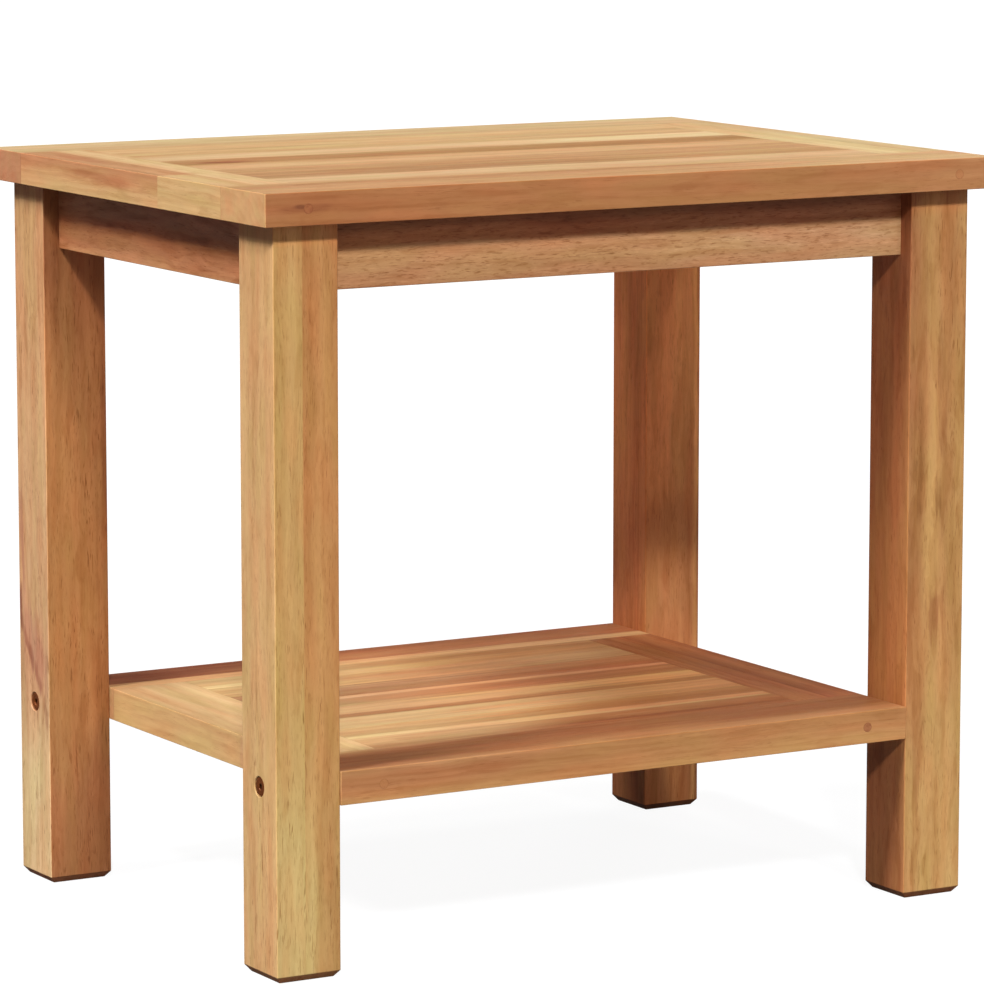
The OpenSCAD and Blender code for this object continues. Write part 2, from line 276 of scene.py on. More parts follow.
def end_outline(x0, x1, groove, box, t=8.0, l=8.1):
    z0, z1 = box["z0"], box["z1"]
    m0, m1 = (z0 + z1 - t)/2, (z0 + z1 + t)/2
    if groove == x1:      # groove opens towards +X
        return [(x0, z0), (x1, z0), (x1, m0), (x1 - l, m0), (x1 - l, m1), (x1, m1), (x1, z1), (x0, z1)]
    return [(x0, z0), (x1, z0), (x1, z1), (x0, z1), (x0, m1), (x0 + l, m1), (x0 + l, m0), (x0, m0)]


def leg_mesh(name, cx, cy, h=525.0, w=50.0):
    c, ch = FOOT
    bm = bmesh.new()
    rings = []
    for z, r in ((0, w/2 - c), (ch, w/2), (h, w/2)):
        rings.append([bm.verts.new(((cx + sx*r)*MM, (cy + sy*r)*MM, z*MM)) for sx, sy in ((-1, -1), (1, -1), (1, 1), (-1, 1))])
    bm.faces.new(rings[0])
    bm.faces.new(list(reversed(rings[-1])))
    for a, b in zip(rings, rings[1:]):
        for k in range(4):
            j = (k + 1) % 4
            bm.faces.new([a[k], b[k], b[j], a[j]])
    return from_bmesh(name, bm)


def leg_rule(p, q):
    if abs(p.z - q.z) > 100:
        return 1.0          # the long arrises
    if max(p.z, q.z) < 8:
        return 0.35         # round the foot
    return 0.0


# ---------------------------------------------------------------- node helpers
class Net:
    """Adds nodes to a tree. Every call returns the new node's output socket."""

    def __init__(self, tree):
        self.tree = tree

    def put(self, kind, ins=(), out=0, **props):
        n = self.tree.nodes.new(kind)
        for k, v in props.items():
            setattr(n, k, v)
        for key, v in (ins.items() if isinstance(ins, dict) else enumerate(ins)):
            if v is None:
                continue
            if isinstance(v, bpy.types.NodeSocket):
                self.tree.links.new(v, n.inputs[key])
            else:
                n.inputs[key].default_value = v
        return n.outputs[out]

    def m(self, op, a, b=None, c=None, clamp=False):
        return self.put("ShaderNodeMath", (a, b, c), operation=op, use_clamp=clamp)

    def v(self, op, a, b=None, c=None):
        return self.put("ShaderNodeVectorMath", (a, b, c), operation=op, out=1 if op in ("LENGTH", "DOT_PRODUCT", "DISTANCE") else 0)

    def split(self, v):
        n = self.tree.nodes.new("ShaderNodeSeparateXYZ")
        self.tree.links.new(v, n.inputs[0])
        return n.outputs[0], n.outputs[1], n.outputs[2]

    def join(self, x, y, z):
        return self.put("ShaderNodeCombineXYZ", (x, y, z))

    def step(self, x, lo, hi, a=0.0, b=1.0):
        return self.put("ShaderNodeMapRange", (x, lo, hi, a, b), interpolation_type="SMOOTHSTEP", clamp=True)

    def line(self, x, lo, hi, a=0.0, b=1.0):
        return self.put("ShaderNodeMapRange", (x, lo, hi, a, b), clamp=True)

    def noise(self, vec, scale=1.0, detail=2.0, rough=0.5, out=0):
        return self.put("ShaderNodeTexNoise", {"Vector": vec, "Scale": scale, "Detail": detail, "Roughness": rough}, out=out)

    def mix(self, f, a, b):
        return self.put("ShaderNodeMix", {0: f, 6: a, 7: b}, out=2, data_type="RGBA", clamp_factor=True)

    def mixf(self, f, a, b):
        return self.put("ShaderNodeMix", {0: f, 2: a, 3: b}, out=0, data_type="FLOAT", clamp_factor=True)

    def gain(self, colour, tint, f):
        """Multiplies a colour by the tint where f is 1, and leaves it where f is 0."""
        g = self.v("MULTIPLY_ADD", tuple(t - 1 for t in tint), f, (1, 1, 1))
        return self.v("MULTIPLY", colour, g)

    def ramp(self, fac, stops):
        n = self.tree.nodes.new("ShaderNodeValToRGB")
        self.tree.links.new(fac, n.inputs[0])
        el = n.color_ramp.elements
        while len(el) > 1:
            el.remove(el[-1])
        for i, (p, c) in enumerate(stops):
            e = el[0] if i == 0 else el.new(p)
            e.position = p
            e.color = (*c, 1)
        return n.outputs[0]


def group(name, ins, outs):
    g = bpy.data.node_groups.new(name, "ShaderNodeTree")
    kind = {"f": "NodeSocketFloat", "v": "NodeSocketVector", "c": "NodeSocketColor"}
    for n, k in ins:
        g.interface.new_socket(name=n, in_out="INPUT", socket_type=kind[k])
    for n, k in outs:
        g.interface.new_socket(name=n, in_out="OUTPUT", socket_type=kind[k])
    i = g.nodes.new("NodeGroupInput")
    o = g.nodes.new("NodeGroupOutput")
    return g, Net(g), {s.name: s for s in i.outputs if s.name}, {s.name: s for s in o.inputs if s.name}


def use(net, g, ins):
    n = net.tree.nodes.new("ShaderNodeGroup")
    n.node_tree = g
    for k, v in ins.items():
        if isinstance(v, bpy.types.NodeSocket):
            net.tree.links.new(v, n.inputs[k])
        else:
            n.inputs[k].default_value = v
    return {s.name: s for s in n.outputs if s.name}


def lin(c):
    """A tint given as display values 0 to 255, as the shader wants it."""
    out = []
    for k in c:
        k = k/255
        out.append(round(k/12.92 if k <= 0.04045 else ((k + 0.055)/1.055)**2.4, 4))
    return tuple(out)


# ---------------------------------------------------------------- wood: the grain itself
# P is (along the grain, across, through) in millimetres from the board's middle.
LAYERS = ("Fine", "Mid", "Broad", "Rings", "Pores", "Mottle", "Flame", "Hue", "Fleck", "Dash")
GRAIN, n, I, O = group("grain", [("P", "v"), ("Shift", "v"), ("Wander", "f"), ("Ring", "f"), ("Pith", "v")],
                       [("V", "f"), ("W", "f")] + [(k, "f") for k in LAYERS])
q = n.v("ADD", I["P"], I["Shift"])
u, v, w = n.split(I["P"])
slow = n.v("SUBTRACT", n.noise(n.v("MULTIPLY", q, (1/210, 1/48, 1/48)), 1.0, 1.0, 0.5, out=1), (0.5, 0.5, 0.5))
quick_ = n.v("SUBTRACT", n.noise(n.v("MULTIPLY", q, (1/38, 1/12, 1/12)), 1.0, 1.0, 0.5, out=1), (0.5, 0.5, 0.5))
sx_, sy_, _ = n.split(slow)
qx_, qy_, _ = n.split(quick_)
wv = n.m("MULTIPLY", I["Wander"], n.m("MULTIPLY_ADD", qx_, 0.7, n.m("MULTIPLY", sx_, 2.0)))
ww = n.m("MULTIPLY", I["Wander"], n.m("MULTIPLY_ADD", qy_, 0.7, n.m("MULTIPLY", sy_, 2.0)))
v2 = n.m("ADD", v, wv)
w2 = n.m("ADD", w, ww)
g_ = n.v("ADD", n.join(u, v2, w2), I["Shift"])
n.tree.links.new(v2, O["V"])
n.tree.links.new(w2, O["W"])
n.tree.links.new(n.noise(n.v("MULTIPLY", g_, (1/42, 1/1.2, 1/1.2)), 1.0, 2.0, 0.6), O["Fine"])
n.tree.links.new(n.noise(n.v("MULTIPLY", g_, (1/130, 1/4.0, 1/4.0)), 1.0, 2.0, 0.55), O["Mid"])
n.tree.links.new(n.noise(n.v("MULTIPLY", g_, (1/260, 1/12, 1/12)), 1.0, 1.0, 0.5), O["Broad"])
n.tree.links.new(n.noise(n.v("MULTIPLY", q, (1/17, 1/8, 1/8)), 1.0, 2.0, 0.55), O["Mottle"])
# soft islands along the grain, slow changes of hue, and short flecks
isle = n.v("MULTIPLY_ADD", quick_, (1.8, 1.2, 1.2), n.v("MULTIPLY", g_, (1/66, 1/8.5, 1/8.5)))
n.tree.links.new(n.noise(isle, 1.0, 3.0, 0.5), O["Flame"])
n.tree.links.new(n.noise(n.v("MULTIPLY", q, (1/80, 1/15, 1/15)), 1.0, 1.0, 0.5), O["Hue"])
n.tree.links.new(n.noise(n.v("MULTIPLY", g_, (1/8, 1/1.7, 1/1.7)), 1.0, 2.0, 0.55), O["Fleck"])
# growth rings about a pith that lies off the board and drifts along it
pu, pv, pw = n.split(I["Pith"])
dv = n.m("SUBTRACT", n.m("MULTIPLY_ADD", wv, 1.6, v), n.m("MULTIPLY_ADD", u, 0.012, pv))
dw = n.m("SUBTRACT", n.m("MULTIPLY_ADD", ww, 1.6, w), pw)
r_ = n.m("SQRT", n.m("ADD", n.m("MULTIPLY", dv, dv), n.m("MULTIPLY", dw, dw)))
t_ = n.m("FRACT", n.m("DIVIDE", n.m("MULTIPLY_ADD", u, 0.006, r_), I["Ring"]))
late = n.m("MULTIPLY", n.step(t_, 0.25, 0.93), n.step(t_, 1.0, 0.95))
n.tree.links.new(late, O["Rings"])
# pores: short dashes along the grain, in clusters
dash = n.noise(n.v("MULTIPLY", g_, (1/9.5, 1/0.62, 1/0.62)), 1.0, 1.0, 0.5)
flock = n.step(n.noise(n.v("MULTIPLY", g_, (1/80, 1/7, 1/7)), 1.0, 1.0, 0.5), 0.36, 0.62, 0.25, 1.0)
n.tree.links.new(n.m("MULTIPLY", n.step(dash, 0.62, 0.71), flock), O["Pores"])
mark = n.noise(n.v("MULTIPLY", g_, (1/19, 1/1.3, 1/1.3)), 1.0, 1.0, 0.5)
n.tree.links.new(n.m("MULTIPLY", n.step(mark, 0.63, 0.72), flock), O["Dash"])

# distance from the nearest arris of a box, in millimetres
ARRIS, n, I, O = group("arris", [("P", "v"), ("Low", "v"), ("High", "v")], [("Distance", "f")])
d_ = n.v("MINIMUM", n.v("SUBTRACT", I["P"], I["Low"]), n.v("SUBTRACT", I["High"], I["P"]))
a_, b_, c_ = n.split(d_)
n.tree.links.new(n.m("MAXIMUM", n.m("MINIMUM", a_, b_), n.m("MINIMUM", n.m("MAXIMUM", a_, b_), c_)), O["Distance"])

# what the grain does to a board's tint, painted light and shade included
TIMBER, n, I, O = group("timber", [("Base", "c"), ("End", "f"), ("Arris", "f"), ("Streak", "f"), ("Figure", "f"), ("Pore Depth", "f"),
                                   ("Island", "f"), ("Tinge", "f"), ("Flecks", "f"), ("Dashes", "f")] + [(k, "f") for k in LAYERS],
                        [("Colour", "c"), ("Roughness", "f"), ("Height", "f")])
c = I["Base"]
side = n.m("MULTIPLY_ADD", I["End"], -0.7, 1.0)
streak_, island_, flecks_ = (n.m("MULTIPLY", I[k], side) for k in ("Streak", "Island", "Flecks"))
c = n.gain(c, (0.82, 0.73, 0.63), n.m("MULTIPLY", n.step(I["Broad"], 0.50, 0.30), I["Figure"]))
c = n.gain(c, (1.11, 1.15, 1.18), n.m("MULTIPLY", n.step(I["Broad"], 0.50, 0.70), I["Figure"]))
c = n.gain(c, (0.82, 0.72, 0.62), n.m("MULTIPLY", n.step(I["Mid"], 0.50, 0.28), streak_))
c = n.gain(c, (1.10, 1.13, 1.15), n.m("MULTIPLY", n.step(I["Mid"], 0.50, 0.72), streak_))
c = n.gain(c, (0.90, 0.85, 0.79), n.m("MULTIPLY", n.step(I["Fine"], 0.52, 0.30), streak_))
c = n.gain(c, (1.05, 1.06, 1.07), n.m("MULTIPLY", n.step(I["Fine"], 0.52, 0.72), streak_))
c = n.gain(c, (0.80, 0.71, 0.60), n.m("MULTIPLY", n.step(I["Flame"], 0.49, 0.37), island_))
c = n.gain(c, (1.09, 1.11, 1.10), n.m("MULTIPLY", n.step(I["Flame"], 0.51, 0.66), island_))
c = n.gain(c, (1.04, 0.94, 0.93), n.m("MULTIPLY", n.step(I["Hue"], 0.48, 0.68), I["Tinge"]))
c = n.gain(c, (0.97, 1.04, 0.97), n.m("MULTIPLY", n.step(I["Hue"], 0.52, 0.32), I["Tinge"]))
c = n.gain(c, (0.78, 0.70, 0.62), n.m("MULTIPLY", n.step(I["Fleck"], 0.44, 0.32), flecks_))
c = n.gain(c, (1.11, 1.14, 1.18), n.m("MULTIPLY", n.step(I["Fleck"], 0.57, 0.69), flecks_))
c = n.gain(c, (0.86, 0.78, 0.70), n.m("MULTIPLY", n.m("MULTIPLY", I["Rings"], I["Figure"]), side))
c = n.gain(c, (1.06, 1.06, 1.06), n.m("MULTIPLY_ADD", I["Mottle"], 2.0, -1.0))
dark = n.m("MULTIPLY", I["Pores"], n.mixf(I["End"], I["Pore Depth"], 0.3))
c = n.gain(c, (0.56, 0.44, 0.36), dark)
c = n.gain(c, (0.62, 0.52, 0.42), n.m("MULTIPLY", n.m("MULTIPLY", I["Dash"], I["Dashes"]), side))
c = n.gain(c, (0.95, 0.91, 0.88), n.m("MULTIPLY", I["End"], n.m("MULTIPLY_ADD", I["Rings"], 0.35, 0.5)))
worn = n.step(n.m("MULTIPLY_ADD", n.m("SUBTRACT", I["Mottle"], 0.5), 3.0, I["Arris"]), 1.3, 0.1)
c = n.gain(c, (1.05, 1.03, 1.0), worn)
n.tree.links.new(c, O["Colour"])
ro = n.m("MULTIPLY_ADD", I["Fine"], 0.16, 0.40)
ro = n.m("MULTIPLY_ADD", I["Mottle"], 0.12, ro)
ro = n.m("MULTIPLY_ADD", I["Pores"], 0.16, ro)
ro = n.m("MULTIPLY_ADD", I["End"], 0.12, ro)
ro = n.m("MULTIPLY_ADD", worn, -0.08, ro)
n.tree.links.new(ro, O["Roughness"])
h = n.m("MULTIPLY_ADD", I["Pores"], -1.0, n.m("MULTIPLY", I["Fine"], 0.55))
h = n.m("MULTIPLY_ADD", I["Rings"], 0.25, h)
h = n.m("MULTIPLY_ADD", I["Mid"], 0.4, h)
n.tree.links.new(h, O["Height"])


# ---------------------------------------------------------------- wood: one board's material
def band(net, X, G, field, axes):
    """The tint of a field: stops by one coordinate, or two sets of stops that change over along another."""
    by = field["by"]
    co = X[by]
    if not field.get("straight") and by in axes[1:]:
        warped = G["V"] if by == axes[1] else G["W"]
        mid = field["mid"][by]
        co = net.m("ADD", warped, mid)
    stops = field["stops"]
    a, b = stops[0][0], stops[-1][0]
    fac = net.line(co, a, b)
    ca = net.ramp(fac, [((p - a)/(b - a), lin(c)) for p, c in stops])
    if "stops2" not in field:
        return ca
    s2 = field["stops2"]
    a2, b2 = s2[0][0], s2[-1][0]
    cb = net.ramp(net.line(co, a2, b2), [((p - a2)/(b2 - a2), lin(c)) for p, c in s2])
    letter, f0, f1 = field["along"]
    jitter = field.get("jitter", 0.9)*abs(f1 - f0)
    at = X[letter] if not jitter else net.m("MULTIPLY_ADD", net.m("SUBTRACT", G["Mid"], 0.5), jitter, X[letter])
    return net.mix(net.step(at, f0, f1), ca, cb)


def face_mask(net, X, lo, hi, letter, side):
    i = "xyz".index(letter)
    edge = hi[i] if side > 0 else lo[i]
    return net.step(X[letter], edge - side*0.75, edge - side*0.15)


def board(name, axes, lo, hi, field, faces=(), spots=(), knots=(), box=None, seam=(), wander=3.0, ring=5.0, pith=(0, 14, -46),
          streak=0.5, figure=0.5, pores=0.5, island=0.35, tinge=0.8, flecks=0.2, dashes=0.15, zone=None, foot=False, splits=(), painted_shading=(), seed=0):
    mat = bpy.data.materials.new(name)
    mat.use_nodes = True
    t = mat.node_tree
    bsdf = t.nodes["Principled BSDF"]
    net = Net(t)
    tc = t.nodes.new("ShaderNodeTexCoord")
    pos = net.v("MULTIPLY", tc.outputs["Object"], (1000, 1000, 1000))
    X = dict(zip("xyz", net.split(pos)))
    mid = {k: (lo[i] + hi[i])/2 for i, k in enumerate("xyz")}
    U, V, W = (net.m("SUBTRACT", X[k], mid[k]) for k in axes)
    # staves glued side by side, or end to end, each from another piece of the tree
    shift = Vector(((seed*173.3) % 4001, (seed*71.9) % 997, (seed*37.7) % 499))
    off = None
    for i, (k, at) in enumerate(splits):
        s = net.m("GREATER_THAN", X[k], at)
        off = net.m("MULTIPLY", s, i + 1.0) if off is None else net.m("MULTIPLY_ADD", s, i + 1.7, off)
    sh = tuple(shift) if off is None else net.v("MULTIPLY_ADD", (431.0, 67.0, 29.0), off, tuple(shift))
    # knots push the grain aside
    knot_masks = []
    for k in knots:
        ku, kv = net.m("SUBTRACT", X[axes[0]], k["u"]), net.m("SUBTRACT", X[k.get("across", axes[1])], k["v"])
        d = net.m("SQRT", net.m("ADD", net.m("POWER", net.m("ABSOLUTE", net.m("DIVIDE", ku, k["ru"])), 2.0),
                                net.m("POWER", net.m("ABSOLUTE", net.m("DIVIDE", kv, k["rv"])), 2.0)))
        pull = net.step(d, 2.6, 0.0, 0.0, k.get("pull", 0.75))
        if k.get("across", axes[1]) == axes[1]:
            V = net.m("SUBTRACT", V, net.m("MULTIPLY", kv, pull))
        else:
            W = net.m("SUBTRACT", W, net.m("MULTIPLY", kv, pull))
        knot_masks.append((d, k))
    P = net.join(U, V, W)
    G = use(net, GRAIN, {"P": P, "Shift": sh, "Wander": wander, "Ring": ring, "Pith": pith})
    field = dict(field, mid=mid)
    base = band(net, X, G, field, axes)
    for letter, side, f in faces:
        base = net.mix(face_mask(net, X, lo, hi, letter, side), base, band(net, X, G, dict(f, mid=mid), axes))
    # soft patches of another tint: centre and radii in two coordinates, turned by an angle
    for s in spots:
        (ka, kb), (a0, b0), (ra, rb) = s["in"], s["at"], s["r"]
        ang = math.radians(s.get("turn", 0))
        da, db = net.m("SUBTRACT", X[ka], a0), net.m("SUBTRACT", X[kb], b0)
        ea = net.m("ADD", net.m("MULTIPLY", da, math.cos(ang)/ra), net.m("MULTIPLY", db, math.sin(ang)/ra))
        eb = net.m("SUBTRACT", net.m("MULTIPLY", db, math.cos(ang)/rb), net.m("MULTIPLY", da, math.sin(ang)/rb))
        d = net.m("SQRT", net.m("ADD", net.m("MULTIPLY", ea, ea), net.m("MULTIPLY", eb, eb)))
        d = net.m("MULTIPLY_ADD", net.m("SUBTRACT", G["Mid"], 0.5), s.get("ragged", 1.2), d)
        d = net.m("MULTIPLY_ADD", net.m("SUBTRACT", G["Mottle"], 0.5), s.get("ragged", 1.2)*0.6, d)
        f = net.step(d, 1.0, s.get("core", 0.25), 0.0, s.get("amount", 0.8))
        if "on" in s:
            f = net.m("MULTIPLY", f, face_mask(net, X, lo, hi, *s["on"]))
        base = net.mix(f, base, (*lin(s["tint"]), 1))
    for d, k in knot_masks:
        rings = net.m("MULTIPLY_ADD", net.m("SINE", net.m("MULTIPLY", d, 13.0)), 0.12, 0.88)
        f = net.step(net.m("MULTIPLY_ADD", net.m("SUBTRACT", G["Fine"], 0.5), 0.5, d), 1.05, 0.35, 0.0, k.get("amount", 0.85))
        if "on" in k:
            f = net.m("MULTIPLY", f, face_mask(net, X, lo, hi, *k["on"]))
        base = net.mix(f, base, net.v("MULTIPLY", tuple(lin(k["tint"])), rings))
    # painted light and shade: a face's tint darkens or lightens by height, standing in for shadows cast by the
    # tabletop, aprons and shelf and for light that falls on the face
    for d in painted_shading:
        a, b = d["stops"][0][0], d["stops"][-1][0]
        painted_gain = net.ramp(net.line(X[d["by"]], a, b), [((p - a)/(b - a), tuple(v/2 for v in g)) for p, g in d["stops"]])
        painted_gain = net.v("MULTIPLY", base, net.v("MULTIPLY", painted_gain, (2, 2, 2)))
        base = net.mix(face_mask(net, X, lo, hi, *d["on"]), base, painted_gain)
    # grime in the seams between the boards
    for letter, at in seam:
        f = net.step(net.m("ABSOLUTE", net.m("SUBTRACT", X[letter], at)), 0.7, 0.1, 0.0, 0.35)
        base = net.gain(base, (0.62, 0.52, 0.45), f)
    # painted shade: the foot's chamfer faces the floor, so its tint is darkened below the chamfer's top edge
    if foot:
        base = net.gain(base, (0.46, 0.34, 0.30), net.step(X["z"], FOOT[1] + 0.3, FOOT[1] - 0.5))
    if zone:
        dashes = net.step(X[zone[0]], zone[1], zone[2], dashes, zone[3])
    axis_vec = tuple(1.0 if k == axes[0] else 0.0 for k in "xyz")
    end = net.step(net.m("ABSOLUTE", net.v("DOT_PRODUCT", tc.outputs["Normal"], axis_vec)), 0.55, 0.8)
    bx = box or dict(x0=lo[0], x1=hi[0], y0=lo[1], y1=hi[1], z0=lo[2], z1=hi[2])
    A = use(net, ARRIS, {"P": pos, "Low": (bx["x0"], bx["y0"], bx["z0"]), "High": (bx["x1"], bx["y1"], bx["z1"])})
    T = use(net, TIMBER, {"Base": base, "End": end, "Arris": A["Distance"], "Streak": streak, "Figure": figure, "Pore Depth": pores,
                          "Island": island, "Tinge": tinge, "Flecks": flecks, "Dashes": dashes, **{k: G[k] for k in LAYERS}})
    t.links.new(T["Colour"], bsdf.inputs["Base Color"])
    t.links.new(T["Roughness"], bsdf.inputs["Roughness"])
    bump = t.nodes.new("ShaderNodeBump")
    bump.inputs["Strength"].default_value = 0.5
    bump.inputs["Distance"].default_value = 0.00012
    t.links.new(T["Height"], bump.inputs["Height"])
    t.links.new(bump.outputs[0], bsdf.inputs["Normal"])
    bsdf.inputs["Specular IOR Level"].default_value = 0.35
    return mat


def flat(a, b, letter, c, d=None):
    """A field that hardly changes: one tint, or one at each end."""
    return dict(by=letter, stops=[(a, c), (b, d or c)])


# ---------------------------------------------------------------- the boards' tints (display values), with painted light and shade where marked
BOARDS = {}

# tabletop
BOARDS["top_front_rail"] = dict(
    axes="xyz", field=dict(by="y", along=("x", 40, 260),
                           stops=[(-222, (187, 144, 101)), (-198, (185, 142, 99)), (-178, (180, 135, 94)), (-168, (173, 128, 86)), (-161, (189, 149, 104)), (-157, (190, 151, 107))],
                           stops2=[(-222, (196, 158, 114)), (-172, (192, 154, 111)), (-157, (194, 157, 113))]),
    faces=[("y", -1, dict(by="x", stops=[(-300, (167, 110, 69)), (-262, (162, 103, 63)), (-200, (165, 109, 67)), (120, (166, 112, 69)), (300, (173, 119, 77))])),
           ("x", -1, flat(-222, -157, "y", (198, 153, 105)))],
    spots=[dict({"in": "xz", "at": (-268, 537), "r": (26, 4.5), "tint": (144, 84, 53), "amount": 0.55, "on": ("y", -1)}),
           dict({"in": "xy", "at": (40, -168), "r": (120, 7), "tint": (170, 123, 80), "amount": 0.6})],
    knots=[dict(u=-273, across="z", v=538, ru=7, rv=2.2, tint=(117, 64, 41), amount=0.6, on=("y", -1))],
    seam=[("y", -157)], wander=4.0, ring=6.0, pith=(0, 30, -60), figure=0.3, streak=0.35, pores=0.35, island=0.35, flecks=0.1)
BOARDS["top_back_rail"] = dict(
    axes="xyz", field=dict(by="y", stops=[(163, (186, 153, 111)), (176, (193, 163, 119)), (206, (194, 166, 123)), (222, (196, 167, 123))]),
    faces=[("x", -1, flat(163, 222, "y", (180, 125, 88), (184, 127, 91))), ("y", 1, flat(-300, 300, "x", (182, 124, 80)))],
    seam=[("y", 163)], wander=4.0, ring=5.5, pith=(0, -30, -70), figure=0.35, streak=0.35, pores=0.25, island=0.3, flecks=0.05)
BOARDS["top_left_end_board"] = dict(
    axes="yxz", splits=[("x", -273), ("y", -61)],
    field=dict(by="x", straight=True, along=("y", -60.6, -61.4), jitter=0,
               stops=[(-300, (180, 134, 94)), (-273.2, (177, 129, 89)), (-272.8, (203, 167, 121)), (-246, (204, 170, 124))],
               stops2=[(-300, (198, 162, 116)), (-273.2, (192, 154, 107)), (-272.8, (203, 168, 122)), (-246, (205, 170, 125))]),
    faces=[("x", -1, dict(by="z", along=("y", -60.6, -61.4), jitter=0,
                          stops=[(525, (202, 162, 112)), (532, (197, 152, 103)), (540, (188, 134, 90)), (548, (184, 128, 88))],
                          stops2=[(525, (201, 162, 110)), (548, (202, 164, 113))]))],
    spots=[dict({"in": "yz", "at": (30, 540), "r": (85, 5), "turn": 3, "tint": (164, 98, 62), "amount": 0.5, "on": ("x", -1)}),
           dict({"in": "yx", "at": (90, -287), "r": (60, 9), "tint": (168, 113, 78), "amount": 0.55}),
           dict({"in": "yx", "at": (-36, -286), "r": (50, 12), "tint": (189, 146, 102), "amount": 0.7})],
    seam=[("y", -157), ("y", 163), ("x", -246)], wander=4.5, ring=4.6, pith=(0, -20, -40), figure=0.35, streak=0.35, pores=0.2, island=0.4, flecks=0.05)
BOARDS["top_right_end_board"] = dict(
    axes="yxz", splits=[("x", 276)],
    field=dict(by="x", straight=True, along=("y", -20, 100),
               stops=[(242, (206, 180, 132)), (275.8, (204, 178, 129)), (276.2, (194, 171, 124)), (300, (193, 166, 122))],
               stops2=[(242, (200, 163, 116)), (275.8, (198, 162, 115)), (276.2, (191, 159, 115)), (300, (191, 159, 116))]),
    faces=[("x", 1, flat(-157, 163, "y", (196, 150, 100), (190, 140, 92)))],
    seam=[("y", -157), ("y", 163), ("x", 242)], wander=3.0, ring=5.2, pith=(0, 25, -48), figure=0.35, streak=0.35, pores=0.2, island=0.4, flecks=0.05)


def plank(box, y0, w, i, seams, stops, stops2=None, along=("x", -60, 120), **more):
    field = dict(by="y", stops=stops)
    if stops2:
        field.update(stops2=stops2, along=along)
    name = ("top" if box is TOP else "shelf") + "_plank_%d" % i
    for k, v in dict(streak=0.46, pores=0.2, island=0.22, flecks=0.05, wander=2.4).items():
        more.setdefault(k, v)
    BOARDS[name] = dict(axes="xyz", field=field, seam=[("y", y0), ("y", y0 + w)] + seams, **more)


def top_plank(i, stops, stops2=None, **more):
    plank(TOP, TOP_Y[i - 1], 40, i, [("x", -246), ("x", 242)], stops, stops2, **more)


def shelf_plank(i, stops, stops2=None, **more):
    plank(SHELF, SHELF_Y[i - 1], 37, i, [("x", -176), ("x", 179)], stops, stops2, **more)


top_plank(1, [(-157, (193, 156, 114)), (-150, (198, 162, 120)), (-122, (198, 162, 120)), (-117, (186, 146, 104))],
          pith=(0, 8, -60), ring=5.0, figure=0.35)
top_plank(2, [(-117, (173, 132, 90)), (-111, (167, 125, 85)), (-96, (170, 129, 88)), (-77, (176, 137, 93))],
          [(-117, (185, 144, 99)), (-100, (181, 141, 96)), (-77, (186, 145, 101))], pith=(0, -18, -36), ring=4.2, figure=0.6)
top_plank(3, [(-77, (180, 136, 94)), (-60, (182, 140, 97)), (-37, (185, 143, 100))], pith=(0, 22, -52), ring=6.2, figure=0.45)
top_plank(4, [(-37, (197, 158, 113)), (-12, (197, 156, 112)), (3, (190, 147, 102))], pith=(0, -6, -44), ring=5.4, figure=0.4)
top_plank(5, [(3, (177, 136, 89)), (12, (170, 128, 84)), (28, (169, 126, 83)), (43, (175, 133, 88))],
          [(3, (169, 128, 82)), (14, (164, 120, 76)), (32, (166, 123, 79)), (43, (175, 134, 89))], pith=(0, 10, -30), ring=3.8, figure=0.65,
          knots=[dict(u=-217, v=17, ru=13, rv=5.5, tint=(142, 88, 56), amount=0.75)],
          spots=[dict({"in": "xy", "at": (-205, 17), "r": (38, 12), "tint": (160, 106, 70), "amount": 0.7}),
                 dict({"in": "xy", "at": (-206, 15), "r": (30, 6), "tint": (136, 76, 50), "amount": 0.8})])
top_plank(6, [(43, (197, 160, 118)), (55, (200, 165, 122)), (76, (200, 166, 123)), (83, (190, 154, 109))],
          [(43, (205, 173, 130)), (58, (210, 183, 137)), (76, (209, 181, 136)), (83, (198, 164, 120))], pith=(0, -25, -70), ring=6.0, figure=0.3)
top_plank(7, [(83, (192, 157, 111)), (104, (196, 161, 113)), (123, (189, 154, 109))],
          [(83, (189, 151, 105)), (103, (192, 156, 111)), (123, (187, 153, 108))], pith=(0, 15, -42), ring=4.8, figure=0.5)
top_plank(8, [(123, (198, 162, 116)), (145, (199, 165, 117)), (163, (192, 157, 112))], pith=(0, 0, -66), ring=5.6, figure=0.4)

# shelf
BOARDS["shelf_front_rail"] = dict(
    axes="xyz", field=dict(by="y", along=("x", -70, -190),
                           stops=[(-207, (177, 127, 83)), (-195, (169, 118, 76)), (-190, (155, 102, 63)), (-172, (150, 95, 59)), (-152, (155, 100, 62)), (-147, (165, 108, 70))],
                           stops2=[(-207, (174, 123, 81)), (-192, (152, 98, 63)), (-168, (150, 95, 60)), (-158, (162, 108, 70)), (-151, (193, 146, 101)), (-147, (197, 151, 105))]),
    faces=[("y", -1, dict(by="z", along=("x", -10, -130), jitter=0.5,
                          stops=[(121, (185, 136, 84)), (128, (177, 126, 78)), (138, (169, 118, 72)), (145, (169, 117, 72))],
                          stops2=[(121, (192, 144, 92)), (127, (183, 132, 84)), (132, (168, 113, 71)), (140, (163, 108, 68)), (145, (174, 124, 82))])),
           ("x", -1, flat(-207, -147, "y", (186, 138, 92)))],
    seam=[("y", -147)], wander=3.5, ring=5.0, pith=(0, -24, -50), figure=0.4, streak=0.42, pores=0.3, island=0.35, flecks=0.15, dashes=0.3)
